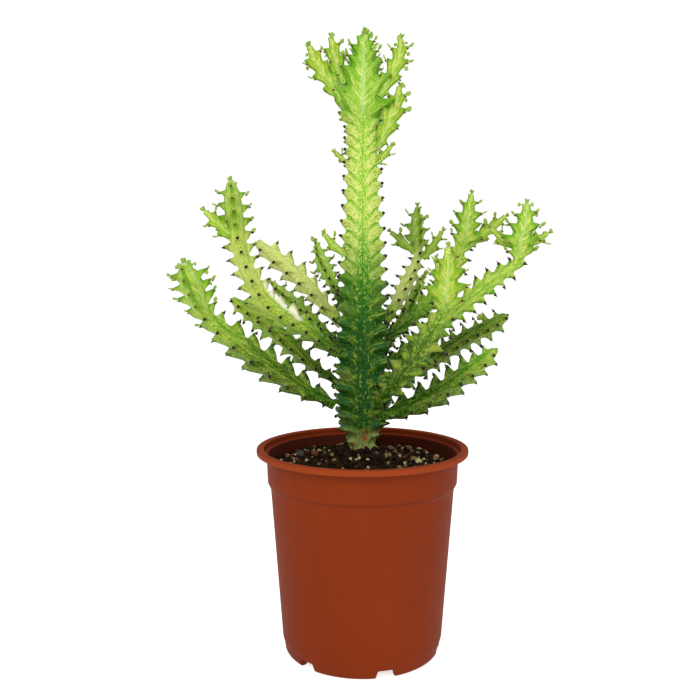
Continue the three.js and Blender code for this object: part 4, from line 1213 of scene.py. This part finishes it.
def add_lump(piece, shape, slot, draw, place, radius, rough=0.28, flat=0.75):
    """A crumb or stone: a round body with its own bumps, squashed a little and turned."""
    points, faces = shape
    shift = draw.uniform(0, 50, 3)
    bumps = np.array([
        noise.noise(Vector(p * 1.3 + shift)) + 0.5 * noise.noise(Vector(p * 2.9 + shift)) for p in points
    ])
    points = points * (1 + rough * 1.6 * bumps)[:, None] * draw.uniform(0.75, 1.2, 3) * (1, 1, flat)
    tilt = draw.uniform(-0.7, 0.7)
    lean = np.array([[1, 0, 0], [0, math.cos(tilt), math.sin(tilt)], [0, -math.sin(tilt), math.cos(tilt)]])
    piece.add(spin(points @ lean, draw.uniform(0, 2 * math.pi)) * radius + place, faces, slot)


def add_root(piece, slot, draw, place):
    """A fine dry root that wanders over the soil."""
    x, y, z = place
    heading = draw.uniform(0, 2 * math.pi)
    line = [(x, y, z + 0.3)]
    for _ in range(ROOT_STEPS):
        heading += draw.uniform(-0.6, 0.6)
        x, y = x + ROOT_STEP * math.cos(heading), y + ROOT_STEP * math.sin(heading)
        if math.hypot(x, y) > SCATTER_RADIUS + 0.5:
            break
        line.append((x, y, soil_height([x], [y])[0] + draw.uniform(0.1, 0.9)))
    if len(line) > 2:
        tube(piece, slot, line, [draw.uniform(0.1, 0.22)] * len(line), (0, 0, 1), sides=4)


def make_soil():
    draw = np.random.default_rng(11)
    piece = Piece()
    radii = np.linspace(1, SOIL_RADIUS, SOIL_RINGS)
    angle = np.arange(SOIL_SECTORS) * 2 * math.pi / SOIL_SECTORS
    x = (radii[:, None] * np.cos(angle)).ravel()
    y = (radii[:, None] * np.sin(angle)).ravel()
    fine = draw.uniform(-0.25, 0.25, len(x))
    top = np.stack([x, y, soil_height(x, y) + fine], -1).reshape(SOIL_RINGS, SOIL_SECTORS, 3)
    floor = SOIL_LEVEL - SOIL_DEPTH
    edge = top[-1] * (0.985, 0.985, 0) + (0, 0, floor)
    rings = np.concatenate([edge[None], top[::-1]])
    points, quads, caps = capped(rings, (0, 0, floor), (0, 0, top[0, :, 2].mean()))
    piece.add(points, quads, 0, more=caps)
    shape = ball()
    kinds = dict(peat=0, red=1, grey=2, tan=3, pale=4, root=5)

    def scattered(number, outer=SCATTER_RADIUS):
        """Random places on the soil."""
        r = np.sqrt(draw.uniform(STEM_HOLE**2, outer**2, number))
        a = draw.uniform(0, 2 * math.pi, number)
        return zip(r * np.cos(a), r * np.sin(a), soil_height(r * np.cos(a), r * np.sin(a)))

    def lay(kind, place, radius, rise, **looks):
        """A lump whose middle is this share of its radius above the soil."""
        add_lump(piece, shape, kinds[kind], draw, np.add(place, (0, 0, rise * radius)), radius, **looks)

    for place in scattered(CRUMBS):
        lay("peat", place, draw.uniform(0.55, 1.5) * draw.choice([1, 1, 1, 1.7]), 0.25, rough=0.4)
    for place in scattered(MOUND_CRUMBS, MOUND_RADIUS):
        lay("peat", place, draw.uniform(0.8, 2.8), 0.3, rough=0.45)
    for place in scattered(GRAINS):
        kind = draw.choice(["pale", "pale", "tan", "red"], p=[0.3, 0.25, 0.35, 0.1])
        lay(kind, place, draw.uniform(0.5, 1.5), 0.5)
    for x, y, radius, kind in STONES:
        lay(kind, (x, y, soil_height([x], [y])[0]), radius, 0.35, rough=0.2, flat=0.8)
    for place in scattered(ROOTS):
        add_root(piece, kinds["root"], draw, place)
    materials = [
        peat_material(), stone_material("lava_grit", (86, 38, 26), (142, 74, 54)),
        stone_material("grey_grit", (52, 50, 48), (98, 94, 88)),
        stone_material("tan_grit", (88, 66, 36), (164, 130, 82)),
        stone_material("pale_grit", (158, 146, 88), (228, 216, 164)),
        spotted_material("dry_root", (70, 48, 30), (140, 104, 66), 300, 3, roughness=0.8),
    ]
    stand_in(link("soil_fine", piece.mesh("soil_fine", materials)), "soil")


def peat_material():
    m = Shader("peat")
    clumps = m.cloud(m.place(), 160, 5, 0.7)
    fine = m.cloud(m.place(), 1100, 3, 0.7)
    color = m.mix(m.step(clumps, 0.25, 0.75), (3, 2, 1), (56, 40, 23))
    color = m.mix(m.step(fine, 0.62, 0.75) * 0.5, color, (96, 74, 50))
    bump = m.bump(clumps + fine * 0.5, 0.9, 0.0014)
    return m.finish(base_color=color, roughness=0.95, normal=bump, specular_ior_level=0.1)


def stone_material(name, low, high):
    m = Shader(name)
    broad = m.cloud(m.place(), 260, 4, 0.7)
    fine = m.cloud(m.place(), 1600, 3, 0.7)
    color = m.mix(broad * 0.7 + fine * 0.3, low, high)
    return m.finish(base_color=color, roughness=0.85, normal=m.bump(broad + fine, 0.5, 0.0006))


# ---------- floor, light, camera ----------


def make_floor():
    bpy.ops.mesh.primitive_circle_add(vertices=96, radius=8, fill_type="NGON", location=(0, 0, -0.0002))
    floor = bpy.context.object
    floor.name = "floor"
    m = Shader("floor")
    pale = m.mix(m.cloud(m.place(), 3), (0.93, 0.93, 0.93, 1), (0.96, 0.96, 0.96, 1))
    glow = 0.3 + m.node("LightPath", "Is Camera Ray", {}) * 0.45
    white = dict(emission_color=(1, 1, 1, 1), emission_strength=glow, specular_ior_level=0.0)
    floor.data.materials.append(m.finish(base_color=pale, roughness=0.9, **white))


def make_lights():
    world = bpy.data.worlds.new("studio")
    world.use_nodes = True
    bpy.context.scene.world = world
    nodes, links = world.node_tree.nodes, world.node_tree.links
    lit, seen = nodes["Background"], nodes.new("ShaderNodeBackground")
    mix = nodes.new("ShaderNodeMixShader")
    links.new(nodes.new("ShaderNodeLightPath").outputs["Is Camera Ray"], mix.inputs[0])
    for i, (background, strength) in enumerate(((lit, 0.33), (seen, 1.05)), 1):
        background.inputs["Color"].default_value = (1, 1, 1, 1)
        background.inputs["Strength"].default_value = strength
        links.new(background.outputs[0], mix.inputs[i])
    links.new(mix.outputs[0], nodes["World Output"].inputs["Surface"])
    for name, place, size, power in (
        ("key", (-0.4, -1.35, 1.25), 1.0, 15.5),
        ("fill", (1.2, -1.0, 0.9), 1.2, 5.5),
        ("top", (0.1, 0.2, 1.8), 1.0, 6),
    ):
        data = bpy.data.lights.new(name, "AREA")
        data.shape = "DISK"
        data.size = size
        data.energy = power
        light = link(name, data)
        light.location = place
        light.rotation_euler = (Vector((0, 0, 0.25)) - light.location).to_track_quat("-Z", "Y").to_euler()


def make_camera():
    data = bpy.data.cameras.new("camera")
    data.lens = LENS
    data.sensor_width = SENSOR
    data.clip_start = 0.01
    camera = link("camera", data)
    camera.location = (AXIS[0], AXIS[1] - CAMERA_DISTANCE * MM, CAMERA_HEIGHT * MM)
    aim = Vector((
        -math.sin(CAMERA_TURN) * math.cos(CAMERA_DIP),
        math.cos(CAMERA_TURN) * math.cos(CAMERA_DIP),
        -math.sin(CAMERA_DIP),
    ))
    camera.rotation_euler = aim.to_track_quat("-Z", "Y").to_euler()
    bpy.context.scene.camera = camera


bpy.context.scene.view_settings.view_transform = "Standard"
make_camera()
make_floor()
make_lights()
make_pot()
make_soil()
make_plant()
